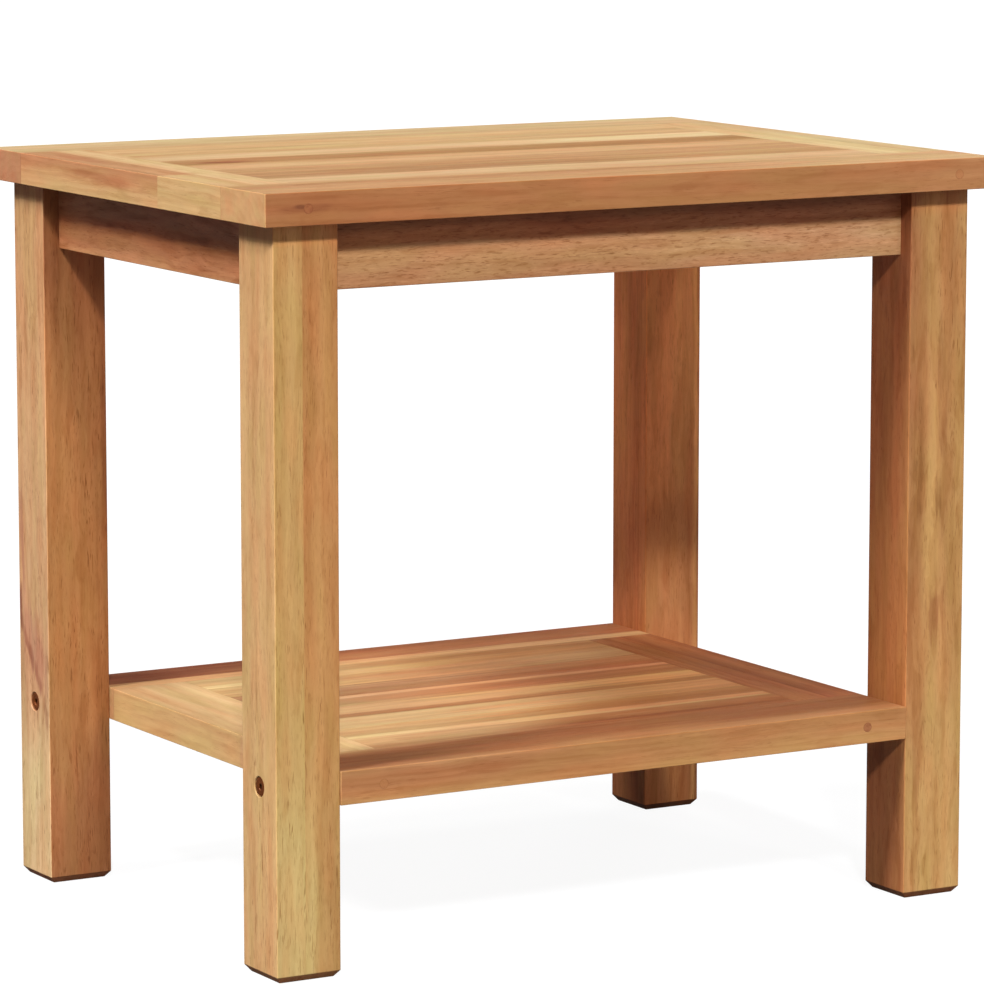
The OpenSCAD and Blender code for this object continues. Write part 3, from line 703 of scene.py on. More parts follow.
BOARDS["shelf_back_rail"] = dict(
    axes="xyz", splits=[("y", 164.5)],
    field=dict(by="y", along=("x", -40, -150),
               stops=[(149, (206, 155, 107)), (164.3, (208, 158, 109)), (164.7, (178, 117, 77)), (185, (170, 108, 69)), (206, (159, 98, 64))],
               stops2=[(149, (204, 155, 106)), (164.3, (206, 157, 108)), (164.7, (156, 97, 66)), (190, (144, 85, 58)), (206, (140, 81, 56))]),
    faces=[("x", -1, flat(149, 206, "y", (194, 148, 102)))],
    seam=[("y", 149)], wander=4.0, ring=5.0, pith=(0, 20, -44), figure=0.5, streak=0.42, pores=0.25, island=0.3, flecks=0.1)
BOARDS["shelf_left_end_board"] = dict(
    axes="yxz",
    field=dict(by="x", stops=[(-236, (198, 159, 111)), (-220, (200, 163, 115)), (-215, (211, 176, 126)), (-210, (200, 163, 115)), (-193, (199, 162, 114)), (-187, (211, 176, 127)), (-176, (205, 168, 120))]),
    faces=[("x", -1, dict(by="z", along=("y", -54, -60), jitter=0.5,
                          stops=[(121, (200, 160, 107)), (145, (201, 159, 109))], stops2=[(121, (198, 153, 107)), (145, (198, 152, 110))]))],
    seam=[("y", -147), ("y", 149), ("x", -176)], wander=4.0, ring=5.5, pith=(0, 12, -50), figure=0.3, streak=0.34, pores=0.25, island=0.25, flecks=0.1)
BOARDS["shelf_right_end_board"] = dict(
    axes="yxz", splits=[("x", 207.7)],
    field=dict(by="x", straight=True, stops=[(179, (177, 113, 71)), (196, (171, 106, 66)), (207.5, (173, 106, 65)), (207.9, (160, 93, 58)), (214, (167, 99, 61)), (224, (181, 115, 71)), (236, (169, 101, 63))]),
    faces=[("x", 1, flat(-147, 149, "y", (176, 120, 78)))],
    seam=[("y", -147), ("y", 149), ("x", 179)], wander=4.5, ring=4.0, pith=(0, 16, -34), figure=0.6, streak=0.5, pores=0.25, island=0.3, flecks=0.1)
shelf_plank(1, [(-147, (193, 148, 102)), (-132, (194, 151, 104)), (-116, (193, 150, 104)), (-113, (202, 164, 117)), (-110, (204, 166, 119))],
            [(-147, (171, 110, 70)), (-138, (165, 103, 63)), (-126, (180, 121, 76)), (-116, (184, 126, 79)), (-113, (207, 158, 108)), (-110, (209, 161, 110))],
            along=("x", -90, 10), pith=(0, 4, -30), ring=4.0, figure=0.6,
            spots=[dict({"in": "xy", "at": (70, -139), "r": (120, 4.5), "tint": (140, 83, 51), "amount": 0.7})])
shelf_plank(2, [(-110, (206, 173, 123)), (-102, (204, 171, 121)), (-100, (184, 148, 101)), (-84, (186, 150, 103)), (-76, (194, 159, 108)), (-73, (197, 162, 110))],
            [(-110, (211, 151, 99)), (-102, (208, 149, 98)), (-100, (179, 118, 71)), (-84, (181, 120, 72)), (-76, (193, 135, 84)), (-73, (201, 142, 89))],
            along=("x", -130, 60), pith=(0, -12, -40), ring=4.6, figure=0.5)
shelf_plank(3, [(-73, (192, 160, 113)), (-56, (195, 163, 116)), (-40, (193, 160, 113)), (-37, (163, 128, 86)), (-36, (161, 123, 81))],
            [(-73, (204, 144, 92)), (-56, (207, 147, 94)), (-40, (205, 144, 92)), (-37, (174, 115, 69)), (-36, (170, 110, 65))], along=("x", -120, 150),
            pith=(0, 18, -54), ring=5.4, figure=0.4)
shelf_plank(4, [(-36, (157, 111, 72)), (-27, (159, 113, 75)), (-23, (189, 146, 103)), (-8, (193, 152, 108)), (1, (190, 148, 104))],
            [(-36, (174, 116, 68)), (-27, (176, 119, 70)), (-23, (212, 153, 95)), (-8, (216, 159, 100)), (1, (213, 155, 96))], along=("x", -120, 150),
            pith=(0, -20, -46), ring=5.0, figure=0.45)
shelf_plank(5, [(1, (176, 141, 97)), (8, (171, 134, 92)), (27, (170, 131, 90)), (30, (200, 165, 124)), (38, (202, 167, 125))],
            [(1, (182, 121, 76)), (8, (177, 113, 71)), (27, (177, 113, 71)), (30, (210, 148, 103)), (38, (213, 151, 105))],
            along=("x", -130, 30), pith=(0, 8, -36), ring=4.2, figure=0.55)
shelf_plank(6, [(38, (156, 110, 72)), (48, (159, 113, 76)), (64, (164, 123, 86)), (75, (171, 131, 90))],
            [(38, (183, 111, 72)), (48, (186, 118, 75)), (64, (192, 128, 83)), (75, (200, 137, 90))], pith=(0, -16, -38), ring=4.4, figure=0.6)
shelf_plank(7, [(75, (190, 154, 105)), (94, (193, 157, 107)), (112, (192, 155, 106))],
            [(75, (195, 143, 95)), (94, (198, 146, 98)), (112, (197, 144, 96))], along=("x", -150, 30), pith=(0, 24, -60), ring=5.8, figure=0.4,
            # painted shade: a soft darker patch across the middle of the plank, for the edge of the tabletop's shadow
            # on the shelf
            spots=[dict({"in": "xy", "at": (-5, 93), "r": (120, 19), "tint": (176, 121, 80), "amount": 0.5, "core": 0.1})])
shelf_plank(8, [(112, (212, 183, 129)), (128, (208, 176, 123)), (134, (192, 158, 109)), (149, (195, 161, 111))],
            [(112, (198, 147, 94)), (128, (194, 141, 89)), (134, (179, 126, 78)), (149, (181, 128, 80))], along=("x", -150, 70), pith=(0, -8, -50), ring=5.0, figure=0.45)

# legs
BOARDS["leg_front_left"] = dict(
    axes="zxy", splits=[("x", -263.5)],
    field=flat(-286, -236, "x", (190, 145, 95)),
    faces=[("y", -1, dict(by="x", straight=True, along=("z", 210, 60), jitter=0.3,
                          stops=[(-286, (182, 141, 83)), (-272, (188, 148, 92)), (-264.2, (185, 145, 88)), (-263.2, (179, 127, 75)), (-250, (185, 134, 81)), (-236, (181, 127, 76))],
                          stops2=[(-286, (191, 157, 99)), (-268, (199, 168, 107)), (-256, (195, 161, 101)), (-252, (185, 143, 86)), (-236, (182, 135, 82))])),
           ("x", -1, dict(by="y", stops=[(-206, (202, 160, 109)), (-196, (198, 155, 105)), (-170, (195, 153, 104)), (-156, (197, 156, 107))]))],
    # painted shading by height: a painted shadow in the top 10 to 15 mm of the front and left faces, under the
    # tabletop, and small painted lighter and darker steps lower down
    painted_shading=[dict(by="z", on=("y", -1), stops=[(0, (0.96, 0.99, 1.03)), (110, (0.98, 1.04, 1.06)), (200, (1.04, 1.09, 1.09)), (300, (1.00, 1.00, 1.00)), (380, (0.98, 0.97, 0.95)), (460, (0.97, 0.93, 0.92)), (509, (1.02, 1.01, 1.01)), (512.5, (1.12, 1.02, 0.99)), (520, (1.09, 0.96, 0.93)), (525, (0.85, 0.62, 0.56))]),
           dict(by="z", on=("x", -1), stops=[(0, (0.98, 0.98, 0.98)), (110, (1.03, 1.06, 1.06)), (190, (1.04, 1.07, 1.08)), (300, (1.00, 1.00, 1.00)), (490, (1.03, 1.00, 1.01)), (512, (1.05, 1.02, 1.00)), (515, (0.60, 0.47, 0.43)), (525, (0.54, 0.42, 0.38))])],
    wander=4.0, ring=7.0, pith=(0, 50, 40), figure=0.25, streak=0.3, pores=0.7, island=0.4, flecks=0.35, dashes=0.35, zone=("z", 250, 170, 1.0), foot=True)
BOARDS["leg_back_left"] = dict(
    axes="zxy",
    field=flat(-286, -236, "x", (182, 130, 88)),
    faces=[("y", -1, dict(by="x", along=("z", 120, 60),
                          stops=[(-286, (167, 117, 70)), (-270, (167, 114, 68)), (-250, (167, 111, 66)), (-240, (160, 103, 60)), (-236, (164, 107, 64))],
                          stops2=[(-286, (164, 109, 66)), (-236, (157, 100, 60))])),
           ("x", -1, dict(by="y", along=("z", 150, 70),
                          stops=[(156, (198, 154, 111)), (180, (195, 151, 108)), (206, (193, 147, 105))],
                          stops2=[(156, (209, 172, 125)), (206, (203, 164, 119))]))],
    spots=[dict({"in": "yz", "at": (180, 178), "r": (20, 60), "turn": -34, "tint": (180, 126, 98), "amount": 0.6, "ragged": 1.4, "on": ("x", -1)}),
           dict({"in": "yz", "at": (187, 170), "r": (6, 46), "turn": -36, "tint": (156, 102, 74), "amount": 0.8, "ragged": 1.5, "on": ("x", -1)}),
           dict({"in": "yz", "at": (163, 134), "r": (4.5, 26), "turn": -8, "tint": (160, 110, 76), "amount": 0.65, "ragged": 1.6, "on": ("x", -1)}),
           dict({"in": "yz", "at": (204, 205), "r": (6, 34), "turn": -8, "tint": (124, 66, 50), "amount": 0.8, "ragged": 1.6, "on": ("x", -1)}),
           dict({"in": "yz", "at": (200, 262), "r": (4, 50), "turn": -5, "tint": (160, 104, 80), "amount": 0.55, "ragged": 1.8, "on": ("x", -1)}),
           dict({"in": "xz", "at": (-239, 360), "r": (3.5, 95), "turn": 1, "tint": (131, 73, 43), "amount": 0.6, "on": ("y", -1)})],
    # painted shading by height: a painted shadow over the top 135 mm of the front face and the top 10 mm of the left
    # face, under the apron and tabletop, and painted light on the front from z 240 to 390
    painted_shading=[dict(by="z", on=("y", -1), stops=[(0, (0.93, 0.94, 0.96)), (60, (0.99, 1.00, 1.03)), (130, (0.96, 0.97, 0.96)), (240, (1.08, 1.10, 1.06)), (330, (1.15, 1.18, 1.16)), (390, (1.10, 1.07, 1.07)), (470, (0.85, 0.72, 0.77)), (525, (0.60, 0.50, 0.55))]),
           dict(by="z", on=("x", -1), stops=[(0, (1.03, 1.12, 1.18)), (110, (1.00, 1.10, 1.15)), (170, (0.94, 0.90, 0.95)), (220, (1.04, 1.06, 1.10)), (300, (1.02, 1.03, 1.05)), (380, (1.06, 1.05, 1.03)), (500, (1.06, 1.02, 0.98)), (512, (1.05, 1.02, 1.00)), (515, (0.60, 0.47, 0.43)), (525, (0.54, 0.42, 0.38))])],
    wander=5.0, ring=6.0, pith=(0, 30, 55), figure=0.4, streak=0.36, pores=1.0, island=0.5, flecks=0.35, dashes=0.8, foot=True)
BOARDS["leg_front_right"] = dict(
    axes="zxy",
    field=flat(236, 286, "x", (180, 130, 82)),
    faces=[("y", -1, dict(by="x", along=("z", 290, 90), jitter=0.8,
                          stops=[(236, (170, 116, 74)), (241, (164, 112, 68)), (249, (170, 120, 72)), (256, (190, 142, 88)), (264, (186, 137, 84)), (271, (174, 126, 76)), (286, (182, 136, 82))],
                          stops2=[(236, (180, 130, 80)), (246, (186, 140, 86)), (262, (190, 146, 90)), (286, (192, 150, 94))])),
           # painted light: the left face's tints are lighter than the wood, for light that falls on it under the
           # tabletop
           ("x", -1, dict(by="y", stops=[(-206, (175, 116, 69)), (-196, (168, 106, 62)), (-172, (163, 102, 60)), (-156, (159, 99, 58))]))],
    spots=[dict({"in": "xz", "at": (265, 400), "r": (5, 34), "tint": (150, 102, 60), "amount": 0.35, "ragged": 3.0, "on": ("y", -1)}),
           dict({"in": "xz", "at": (267, 345), "r": (4, 30), "tint": (144, 96, 54), "amount": 0.55, "ragged": 2.4, "on": ("y", -1)}),
           dict({"in": "xz", "at": (264, 296), "r": (5, 22), "turn": 4, "tint": (144, 96, 54), "amount": 0.75, "ragged": 1.6, "on": ("y", -1)}),
           dict({"in": "xz", "at": (246, 330), "r": (6, 70), "tint": (150, 102, 60), "amount": 0.5, "ragged": 2.6, "on": ("y", -1)}),
           dict({"in": "xz", "at": (259, 212), "r": (8, 26), "turn": -8, "tint": (158, 100, 60), "amount": 0.6, "ragged": 2.4, "on": ("y", -1)}),
           dict({"in": "xz", "at": (246, 120), "r": (7, 50), "tint": (162, 112, 66), "amount": 0.5, "ragged": 2.4, "on": ("y", -1)})],
    # painted shading by height: a painted shadow at the top of the front face, a painted shadow on the left face below
    # the shelf, painted light on it from z 125 to 220 just above the shelf, and painted shade on it from z 420 up to
    # the tabletop
    painted_shading=[dict(by="z", on=("y", -1), stops=[(0, (1.02, 1.06, 1.06)), (60, (1.00, 1.04, 1.04)), (110, (0.97, 1.00, 1.00)), (150, (0.97, 0.96, 0.95)), (260, (0.95, 0.93, 0.92)), (320, (1.00, 1.00, 1.00)), (380, (0.94, 0.89, 0.88)), (505, (0.96, 0.95, 0.97)), (516, (1.07, 0.87, 0.87)), (525, (0.65, 0.45, 0.40))]),
           dict(by="z", on=("x", -1), stops=[(0, (1.06, 1.07, 1.12)), (60, (0.92, 0.92, 1.00)), (105, (0.85, 0.80, 0.86)), (125, (1.08, 1.08, 1.08)), (170, (1.20, 1.24, 1.20)), (220, (1.15, 1.20, 1.18)), (300, (1.03, 1.04, 1.05)), (420, (0.95, 0.88, 0.92)), (470, (0.86, 0.81, 0.92)), (515, (0.50, 0.36, 0.42)), (525, (0.50, 0.36, 0.42))])],
    wander=6.0, ring=6.5, pith=(0, 20, 46), figure=0.45, streak=0.33, pores=0.7, island=0.6, flecks=0.3, dashes=0.45, zone=("z", 320, 420, 0.9), foot=True)
BOARDS["leg_back_right"] = dict(
    axes="zxy",
    field=flat(236, 286, "x", (178, 124, 78)),
    # painted light: the front and left faces' tints are lighter than the wood, for light that falls on them under the
    # tabletop
    faces=[("y", -1, dict(by="x", stops=[(236, (202, 131, 78)), (262, (207, 136, 82)), (279, (204, 133, 80)), (281.5, (229, 163, 99)), (283, (225, 159, 95)), (284, (195, 124, 74)), (286, (197, 126, 76))])),
           ("x", -1, dict(by="y", straight=True, stops=[(156, (197, 123, 74)), (166, (194, 120, 71)), (167, (180, 107, 60)), (168, (190, 115, 68)), (206, (187, 112, 66))]))],
    # painted shading by height: a painted shadow on the front face from z 120 to 215, below the tabletop's shadow edge,
    # and painted light on the front and left faces from z 260 up to the tabletop
    painted_shading=[dict(by="z", on=("y", -1), stops=[(0, (0.94, 0.88, 0.93)), (120, (0.86, 0.85, 0.88)), (170, (0.72, 0.75, 0.79)), (215, (0.71, 0.66, 0.66)), (260, (1.02, 1.01, 0.97)), (300, (1.10, 1.06, 1.06)), (380, (1.28, 1.23, 1.22)), (430, (1.32, 1.27, 1.24)), (525, (1.15, 1.05, 1.05))]),
           dict(by="z", on=("x", -1), stops=[(0, (0.98, 1.04, 1.12)), (170, (1.07, 1.10, 1.12)), (220, (1.00, 1.00, 1.00)), (300, (1.20, 1.26, 1.20)), (380, (1.36, 1.42, 1.38)), (430, (1.40, 1.45, 1.42)), (525, (1.10, 1.05, 1.05))])],
    wander=5.0, ring=6.0, pith=(0, -24, 50), figure=0.4, streak=0.36, pores=0.7, island=0.5, flecks=0.3, dashes=0.3, foot=True)

# aprons
# painted shade and light by height on the aprons: a painted shadow from z 506 up to the tabletop, under its overhang,
# darkest at the tabletop, and a lighter band just below it, where that shadow's edge falls
apron_field_painted_shade = dict(by="z", along=("x", -60, 220),
                   stops=[(477, (170, 121, 81)), (487, (178, 129, 87)), (494, (183, 133, 90)), (500, (184, 133, 90)), (503, (188, 135, 92)), (506, (182, 113, 71)), (511, (182, 112, 71)),
                          (514, (172, 105, 67)), (518, (142, 86, 53)), (525, (125, 70, 43))],
                   stops2=[(477, (175, 129, 89)), (486, (182, 137, 95)), (494, (186, 141, 101)), (500, (188, 142, 102)), (503, (192, 144, 103)), (506, (184, 117, 79)), (511, (174, 110, 74)),
                           (514, (166, 104, 70)), (518, (142, 88, 60)), (525, (125, 78, 52))])
BOARDS["apron_front"] = dict(axes="xzy", field=apron_field_painted_shade, wander=4.0, ring=5.0, pith=(0, -10, 40), figure=0.4, streak=0.5, pores=0.9, island=0.45, flecks=1.0)
BOARDS["apron_back"] = dict(axes="xzy", field=apron_field_painted_shade, wander=4.0, ring=5.0, pith=(0, 12, -40), figure=0.4, streak=0.5, pores=0.9, island=0.45, flecks=1.0)
# painted light and shade by height on the side aprons: lighter below z 496, and a painted shadow from there up to the
# tabletop, under its overhang
side_field_painted_shade = dict(by="z", along=("y", 40, 150),
                  stops=[(477, (184, 129, 88)), (485, (179, 119, 79)), (491, (176, 115, 75)), (496, (172, 107, 66)), (501, (150, 86, 56)), (506, (138, 86, 61)), (512, (135, 87, 64)), (525, (134, 87, 64))],
                  stops2=[(477, (184, 129, 86)), (485, (180, 119, 80)), (491, (177, 116, 76)), (496, (167, 104, 65)), (501, (156, 95, 61)), (506, (150, 97, 65)), (515, (144, 94, 66)), (525, (140, 92, 65))])
BOARDS["apron_left"] = dict(axes="yzx", field=side_field_painted_shade, wander=7.0, ring=4.2, pith=(0, -8, 30), figure=0.6, streak=0.6, pores=0.6, island=0.8, flecks=0.4)
BOARDS["apron_right"] = dict(axes="yzx", field=side_field_painted_shade, wander=5.0, ring=4.6, pith=(0, 10, -34), figure=0.6, streak=0.6, pores=0.6, island=0.8, flecks=0.4)


def wood(node, ob):
    spec = BOARDS[node]
    pts = [v.co/MM for v in ob.data.vertices]
    lo = [round(min(p[i] for p in pts), 3) for i in range(3)]
    hi = [round(max(p[i] for p in pts), 3) for i in range(3)]
    if "plank" in node:          # the tongues don't count
        lo[0], hi[0] = TFX if node.startswith("top") else SFX
    box = TOP if node.startswith("top") else SHELF if node.startswith("shelf") else None
    seed = 1 + sorted(BOARDS).index(node)
    return board(node + "_timber", lo=lo, hi=hi, box=box, seed=seed, **spec)


# ---------------------------------------------------------------- metals and pins
def metal(name, tint, tint2, rough, spangle=0.0, worn=(0.7, 0.7, 0.7), metallic=1.0, grime=(0.2, 0.15, 0.1), grime_amount=0.5):
    mat = bpy.data.materials.new(name)
    mat.use_nodes = True
    t = mat.node_tree
    bsdf = t.nodes["Principled BSDF"]
    net = Net(t)
    tc = t.nodes.new("ShaderNodeTexCoord")
    pos = net.v("MULTIPLY", tc.outputs["Object"], (1000, 1000, 1000))
    cloud = net.noise(pos, 0.16, 3.0, 0.6)
    fleck = net.noise(pos, 1.1, 3.0, 0.6)
    brushed = net.noise(net.v("MULTIPLY", pos, (0.5, 0.5, 9.0)), 1.0, 2.0, 0.6)
    cells = t.nodes.new("ShaderNodeTexVoronoi")
    cells.inputs["Scale"].default_value = 0.28
    t.links.new(pos, cells.inputs["Vector"])
    col = net.mix(net.step(cloud, 0.38, 0.62), (*tint, 1), (*tint2, 1))
    sp = net.m("MULTIPLY", net.m("SUBTRACT", net.split(cells.outputs["Color"])[0], 0.5), spangle)
    col = net.v("MULTIPLY", col, net.join(*(net.m("ADD", sp, 1.0),)*3))
    geo = t.nodes.new("ShaderNodeNewGeometry")
    edge = net.step(net.m("MULTIPLY_ADD", net.m("SUBTRACT", fleck, 0.5), 0.12, geo.outputs["Pointiness"]), 0.53, 0.60)
    col = net.mix(net.m("MULTIPLY", edge, 0.7), col, (*worn, 1))
    hollow = net.step(net.m("MULTIPLY_ADD", net.m("SUBTRACT", fleck, 0.5), 0.10, geo.outputs["Pointiness"]), 0.47, 0.38)
    col = net.mix(net.m("MULTIPLY", hollow, grime_amount), col, (*grime, 1))
    t.links.new(col, bsdf.inputs["Base Color"])
    r = net.m("MULTIPLY_ADD", cloud, 0.22, rough - 0.11)
    r = net.m("MULTIPLY_ADD", brushed, 0.14, net.m("SUBTRACT", r, 0.07))
    r = net.m("MULTIPLY_ADD", hollow, 0.2, r)
    t.links.new(r, bsdf.inputs["Roughness"])
    bsdf.inputs["Metallic"].default_value = metallic
    bump = t.nodes.new("ShaderNodeBump")
    bump.inputs["Strength"].default_value = 0.35
    bump.inputs["Distance"].default_value = 0.00005
    t.links.new(net.m("MULTIPLY_ADD", fleck, 0.6, brushed), bump.inputs["Height"])
    t.links.new(bump.outputs[0], bsdf.inputs["Normal"])
    return mat


BRONZE = metal("bronzed_steel", (0.25, 0.062, 0.010), (0.16, 0.040, 0.007), 0.38, worn=(0.50, 0.21, 0.08), metallic=0.45, grime=(0.030, 0.010, 0.005), grime_amount=0.85)
ZINC = metal("zinc_steel", (0.60, 0.61, 0.63), (0.48, 0.49, 0.51), 0.40, spangle=0.12, worn=(0.80, 0.80, 0.82), grime=(0.20, 0.19, 0.17), grime_amount=0.5)
PLATE = metal("zinc_plate", (0.56, 0.57, 0.59), (0.46, 0.47, 0.50), 0.44, spangle=0.30, worn=(0.78, 0.78, 0.80), grime=(0.20, 0.19, 0.17), grime_amount=0.5)


def pin_wood(name, x, z, d, left, right):
    """End grain across Y, with a thin line of glue round each pin. Left and right are (tint, darker tint)."""
    mat = bpy.data.materials.new(name)
    mat.use_nodes = True
    t = mat.node_tree
    bsdf = t.nodes["Principled BSDF"]
    net = Net(t)
    tc = t.nodes.new("ShaderNodeTexCoord")
    pos = net.v("MULTIPLY", tc.outputs["Object"], (1000, 1000, 1000))
    px, py, pz = net.split(pos)
    dx = net.m("SUBTRACT", net.m("ABSOLUTE", px), x)
    dz = net.m("SUBTRACT", pz, z)
    r = net.m("SQRT", net.m("ADD", net.m("MULTIPLY", dx, dx), net.m("MULTIPLY", dz, dz)))
    speck = net.noise(net.v("MULTIPLY", pos, (1/0.7, 1/14, 1/0.7)), 1.0, 2.0, 0.6)
    cloud = net.noise(net.v("MULTIPLY", pos, (1/3.5, 1/40, 1/3.5)), 1.0, 2.0, 0.5)
    where = net.m("GREATER_THAN", px, 0.0)
    tint = net.mix(where, (*lin(left[0]), 1), (*lin(right[0]), 1))
    dark = net.mix(where, (*lin(left[1]), 1), (*lin(right[1]), 1))
    col = net.mix(net.step(cloud, 0.35, 0.65), tint, dark)
    col = net.gain(col, (0.80, 0.72, 0.66), net.step(speck, 0.50, 0.30))
    col = net.gain(col, (0.80, 0.73, 0.68), net.step(net.m("MULTIPLY_ADD", net.m("SUBTRACT", speck, 0.5), 0.5, r), d/2 - 0.5, d/2 - 0.1))
    t.links.new(col, bsdf.inputs["Base Color"])
    t.links.new(net.m("MULTIPLY_ADD", speck, 0.2, 0.5), bsdf.inputs["Roughness"])
    bump = t.nodes.new("ShaderNodeBump")
    bump.inputs["Strength"].default_value = 0.5
    bump.inputs["Distance"].default_value = 0.0001
    t.links.new(speck, bump.inputs["Height"])
    t.links.new(bump.outputs[0], bsdf.inputs["Normal"])
    bsdf.inputs["Specular IOR Level"].default_value = 0.35
    return mat


# ---------------------------------------------------------------- the wood pieces
pieces = {}
top_rule = panel_rule(TOP, 0.6, 0.15)
shelf_rule = panel_rule(SHELF, 0.6, 0.15)


def add_prism(node, outline, y0, y1, rule, bores):
    ob = prism(node + "_wood", outline, y0, y1)
    round_and_bore(ob, rule, touching(bores, ob))
    pieces[node] = place(ob, node, wood(node, ob))


for node, outline, y0, y1 in (
        ("top_front_rail", rect(-300, 300, 525, 548), -222, -157),
        ("top_back_rail", rect(-300, 300, 525, 548), 163, 222),
        ("top_left_end_board", end_outline(-300, -246, -246, TOP), -157, 163),
        ("top_right_end_board", end_outline(242, 300, 242, TOP), -157, 163)):
    add_prism(node, outline, y0, y1, top_rule, top_pins)
for i in range(8):
    add_prism("top_plank_%d" % (i + 1), plank_outline(*TFX, TOP), TOP_Y[i], TOP_Y[i + 1], top_rule, ())
for node, outline, y0, y1 in (
        ("shelf_front_rail", rect(-236, 236, 121, 145), -207, -147),
        ("shelf_back_rail", rect(-236, 236, 121, 145), 149, 206),
        ("shelf_left_end_board", end_outline(-236, -176, -176, SHELF), -147, 149),
        ("shelf_right_end_board", end_outline(179, 236, 179, SHELF), -147, 149)):
    add_prism(node, outline, y0, y1, shelf_rule, shelf_pins + shelf_rail_bores())
for i in range(8):
    add_prism("shelf_plank_%d" % (i + 1), plank_outline(*SFX, SHELF), SHELF_Y[i], SHELF_Y[i + 1], shelf_rule, ())

# legs, with the counterbore and bore of the shelf bolt and the hanger bolt's bore
for node, sx, sy in (("leg_front_left", -1, -1), ("leg_front_right", 1, -1), ("leg_back_left", -1, 1), ("leg_back_right", 1, 1)):
    ob = leg_mesh(node + "_wood", sx*261, sy*181)
    d = 1/math.sqrt(2)
    bores = [
        ((sx*287, sy*181, 135), (-sx, 0, 0), [(0, 8.6), (1.0, 7.6), (1.4, 7.2), (5.2, 7.2), (5.2, 3.5), (52, 3.5)]),
        ((sx*(236 - 3.5), sy*(156 - 3.5), 503), (sx*d, sy*d, 0), [(0, 3.05), (40, 3.05)]),
    ]
    round_and_bore(ob, leg_rule, bores)
    pieces[node] = place(ob, node, wood(node, ob))


# aprons
def apron_rule(p, q):
    along = abs(p.x - q.x) > 50 or abs(p.y - q.y) > 50
    return 0.7 if along and max(p.z, q.z) < 478 else 0.0


def apron_bores(axis):
    out = []
    if axis == "x":
        at = [(x, s*183) for x in (-150, 0, 150) for s in (-1, 1)]
    else:
        at = [(s*263, y) for y in (-72, 72) for s in (-1, 1)]
    for x, y in at:
        out.append(((x, y, 476), (0, 0, 1), [(0, 5.6), (1.0, 5.0), (1.3, 4.75), (23, 4.75), (23, 2.5), (50, 2.5)]))
    return out


for node, x0, x1, y0, y1, ax in (
        ("apron_front", -236, 236, -193, -173, "x"), ("apron_back", -236, 236, 173, 193, "x"),
        ("apron_left", -273, -253, -156, 156, "y"), ("apron_right", 253, 273, -156, 156, "y")):
    ob = prism(node + "_wood", rect(x0, x1, 477, 525), y0, y1)
    round_and_bore(ob, apron_rule, touching(apron_bores(ax), ob))
    pieces[node] = place(ob, node, wood(node, ob))

# ---------------------------------------------------------------- shelf bolts: flat heads with a turned rim and a socket
bm = bmesh.new()
for sx in (-1, 1):
    for sy in (-1, 1):
        revolve(bm, (sx*285.4, sy*181, 135), (-sx, 0, 0),
                [(0.22, 0.0), (0.20, 2.9), (0.06, 3.4), (0.0, 4.2), (0.0, 5.4), (0.10, 6.1), (0.45, 6.6), (1.0, 6.8), (3.2, 6.8), (3.6, 6.4), (3.6, 3.35), (3.9, 3.0),
                 (72.8, 3.0), (73.6, 2.3), (73.6, 0.0)], seg=56)
ob = from_bmesh("shelf_bolt_set", bm)
bm = bmesh.new()
for sx in (-1, 1):
    for sy in (-1, 1):
        rings = []
        for t, af in ((-0.4, 5.4), (0.22, 4.7), (0.55, 4.0), (2.6, 4.0)):
            r = af/2/math.cos(math.pi/6)
            rings.append([bm.verts.new(((sx*(285.4 - t))*MM, (sy*181 + r*math.cos(math.pi/3*k + math.pi/6))*MM, (135 + r*math.sin(math.pi/3*k + math.pi/6))*MM)) for k in range(6)])
        tip = bm.verts.new((sx*(285.4 - 3.3)*MM, sy*181*MM, 135*MM))
        bm.faces.new(rings[0])
        for a, b in zip(rings, rings[1:]):
            for k in range(6):
                bm.faces.new([a[k], b[k], b[(k + 1) % 6], a[(k + 1) % 6]])
        for k in range(6):
            bm.faces.new([rings[-1][k], tip, rings[-1][(k + 1) % 6]])
bmesh.ops.recalc_face_normals(bm, faces=bm.faces)
sockets = bpy.data.meshes.new("sockets")
bm.to_mesh(sockets)
bm.free()
cut(ob, sockets)
smooth(ob, 35)
pieces["shelf_bolts"] = place(ob, "shelf_bolts", BRONZE)


def dress(node, material, bevel=0.0):
    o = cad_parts[node]
    for s in o.material_slots:
        s.material = material
    if bevel:
        m = o.modifiers.new("arris", "BEVEL")
        m.width = bevel*MM
        m.segments = 2
        m.limit_method = "ANGLE"
        m.angle_limit = math.radians(35)


dress("top_dowel_pins", pin_wood("top_pin_wood", 267, 536.5, 7, ((158, 98, 60), (146, 86, 53)), ((174, 117, 74), (168, 110, 69))))
dress("shelf_dowel_pins", pin_wood("shelf_pin_wood", 202, 133, 7, ((170, 114, 70), (164, 108, 66)), ((162, 106, 68), (148, 92, 58))))
dress("shelf_barrel_nuts", ZINC)
dress("corner_brackets", PLATE, 0.25)
dress("hanger_bolts", ZINC, 0.4)
dress("hanger_bolt_washers", ZINC, 0.15)
dress("hanger_bolt_nuts", ZINC, 0.3)
dress("bracket_screws", ZINC, 0.3)
dress("top_fixing_screws", ZINC, 0.3)

# ---------------------------------------------------------------- floor and light
def plane(name, z, material):
    me = bpy.data.meshes.new(name)
    me.from_pydata([(-60, -60, z), (60, -60, z), (60, 60, z), (-60, 60, z)], [], [(0, 1, 2, 3)])
    me.materials.append(material)
    ob = new_object(name, me)
    return ob


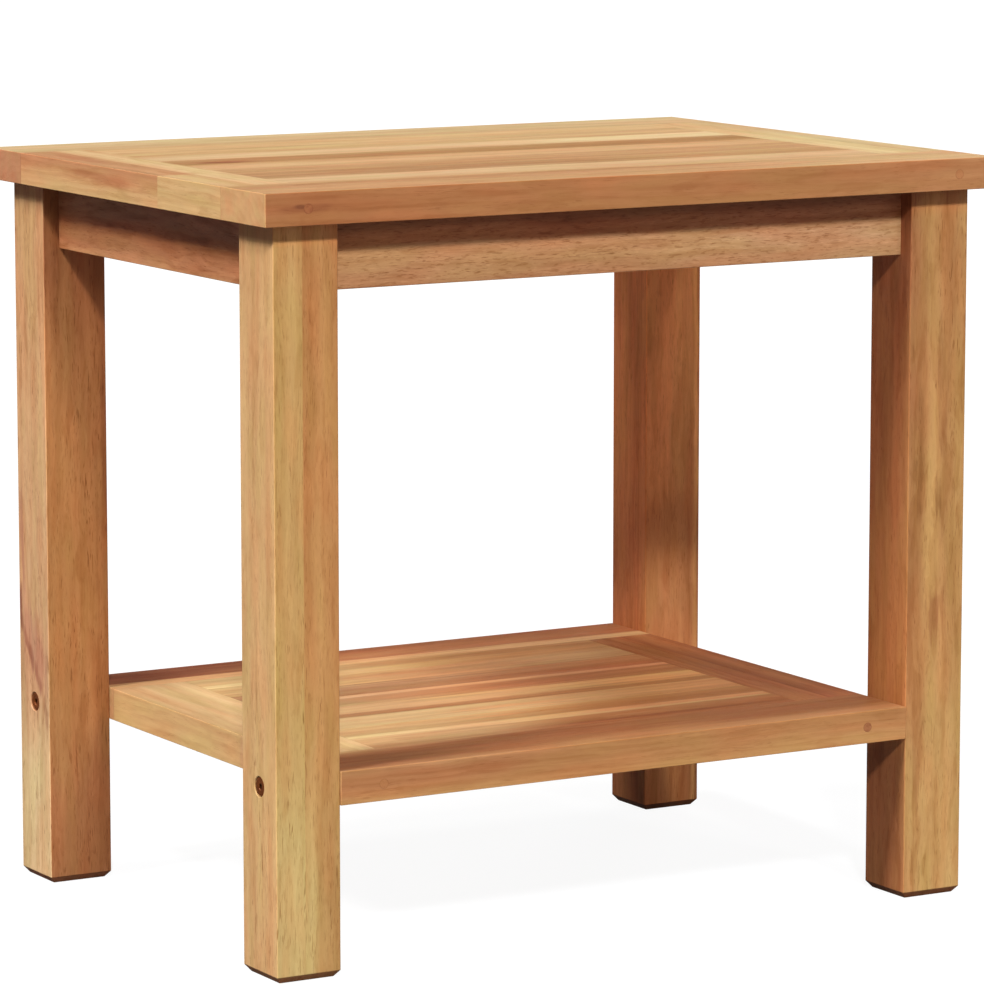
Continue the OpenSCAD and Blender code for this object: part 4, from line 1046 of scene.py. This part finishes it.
def floor_paint(name, colour, glow):
    m = bpy.data.materials.new(name)
    m.use_nodes = True
    b = m.node_tree.nodes["Principled BSDF"]
    b.inputs["Base Color"].default_value = (*colour, 1)
    b.inputs["Roughness"].default_value = 0.9
    b.inputs["Specular IOR Level"].default_value = 0.0
    b.inputs["Emission Color"].default_value = (1, 1, 1, 1)
    b.inputs["Emission Strength"].default_value = glow
    return m


# the floor as it is seen, near white with a faint shadow
floor = plane("floor", 0.0, floor_paint("floor_paint", (0.12, 0.12, 0.12), 0.93))
floor.visible_diffuse = False
floor.visible_glossy = False
floor.visible_shadow = False
# and the little light that it gives back to the wood, just under it
under = plane("floor_bounce", -0.0005, floor_paint("bounce_paint", (0.30, 0.29, 0.28), 0.0))
under.visible_camera = False
under.visible_glossy = False


def sun(name, azimuth, height, strength, angle, colour=(1, 1, 1)):
    a, h = math.radians(azimuth), math.radians(height)
    toward = Vector((math.cos(h)*math.cos(a), math.cos(h)*math.sin(a), math.sin(h)))
    d = bpy.data.lights.new(name, "SUN")
    d.energy = strength*math.pi
    d.angle = math.radians(angle)
    d.color = colour
    o = bpy.data.objects.new(name, d)
    o.rotation_euler = toward.to_track_quat("Z", "Y").to_euler()
    scene.collection.objects.link(o)
    return o


# a long low window in front, a big soft one at the left
sun("front_light_a", 243, 35.5, 0.61, 5.0, (1.0, 1.02, 1.08)).visible_glossy = False
sun("front_light_b", 262, 36.3, 0.34, 5.0, (1.0, 1.02, 1.08)).visible_glossy = False
sun("front_light_c", 285, 36.3, 0.16, 5.0, (1.0, 1.02, 1.08)).visible_glossy = False
sun("left_light_a", 190, 47, 0.69, 10.0)
sun("left_light_b", 167, 47, 0.32, 14.0)
sun("back_fill", 45, 9, 0.46, 24.0).visible_glossy = False

world = bpy.data.worlds.new("world")
scene.world = world
world.use_nodes = True
nt = world.node_tree
nt.nodes.clear()
out = nt.nodes.new("ShaderNodeOutputWorld")
bg = nt.nodes.new("ShaderNodeBackground")
bg.inputs["Color"].default_value = (1, 0.97, 0.95, 1)
bg.inputs["Strength"].default_value = 0.095
nt.links.new(bg.outputs[0], out.inputs[0])

scene.view_settings.view_transform = "Standard"
scene.view_settings.look = "None"
scene.view_settings.exposure = 0.0
scene.view_settings.gamma = 1.0
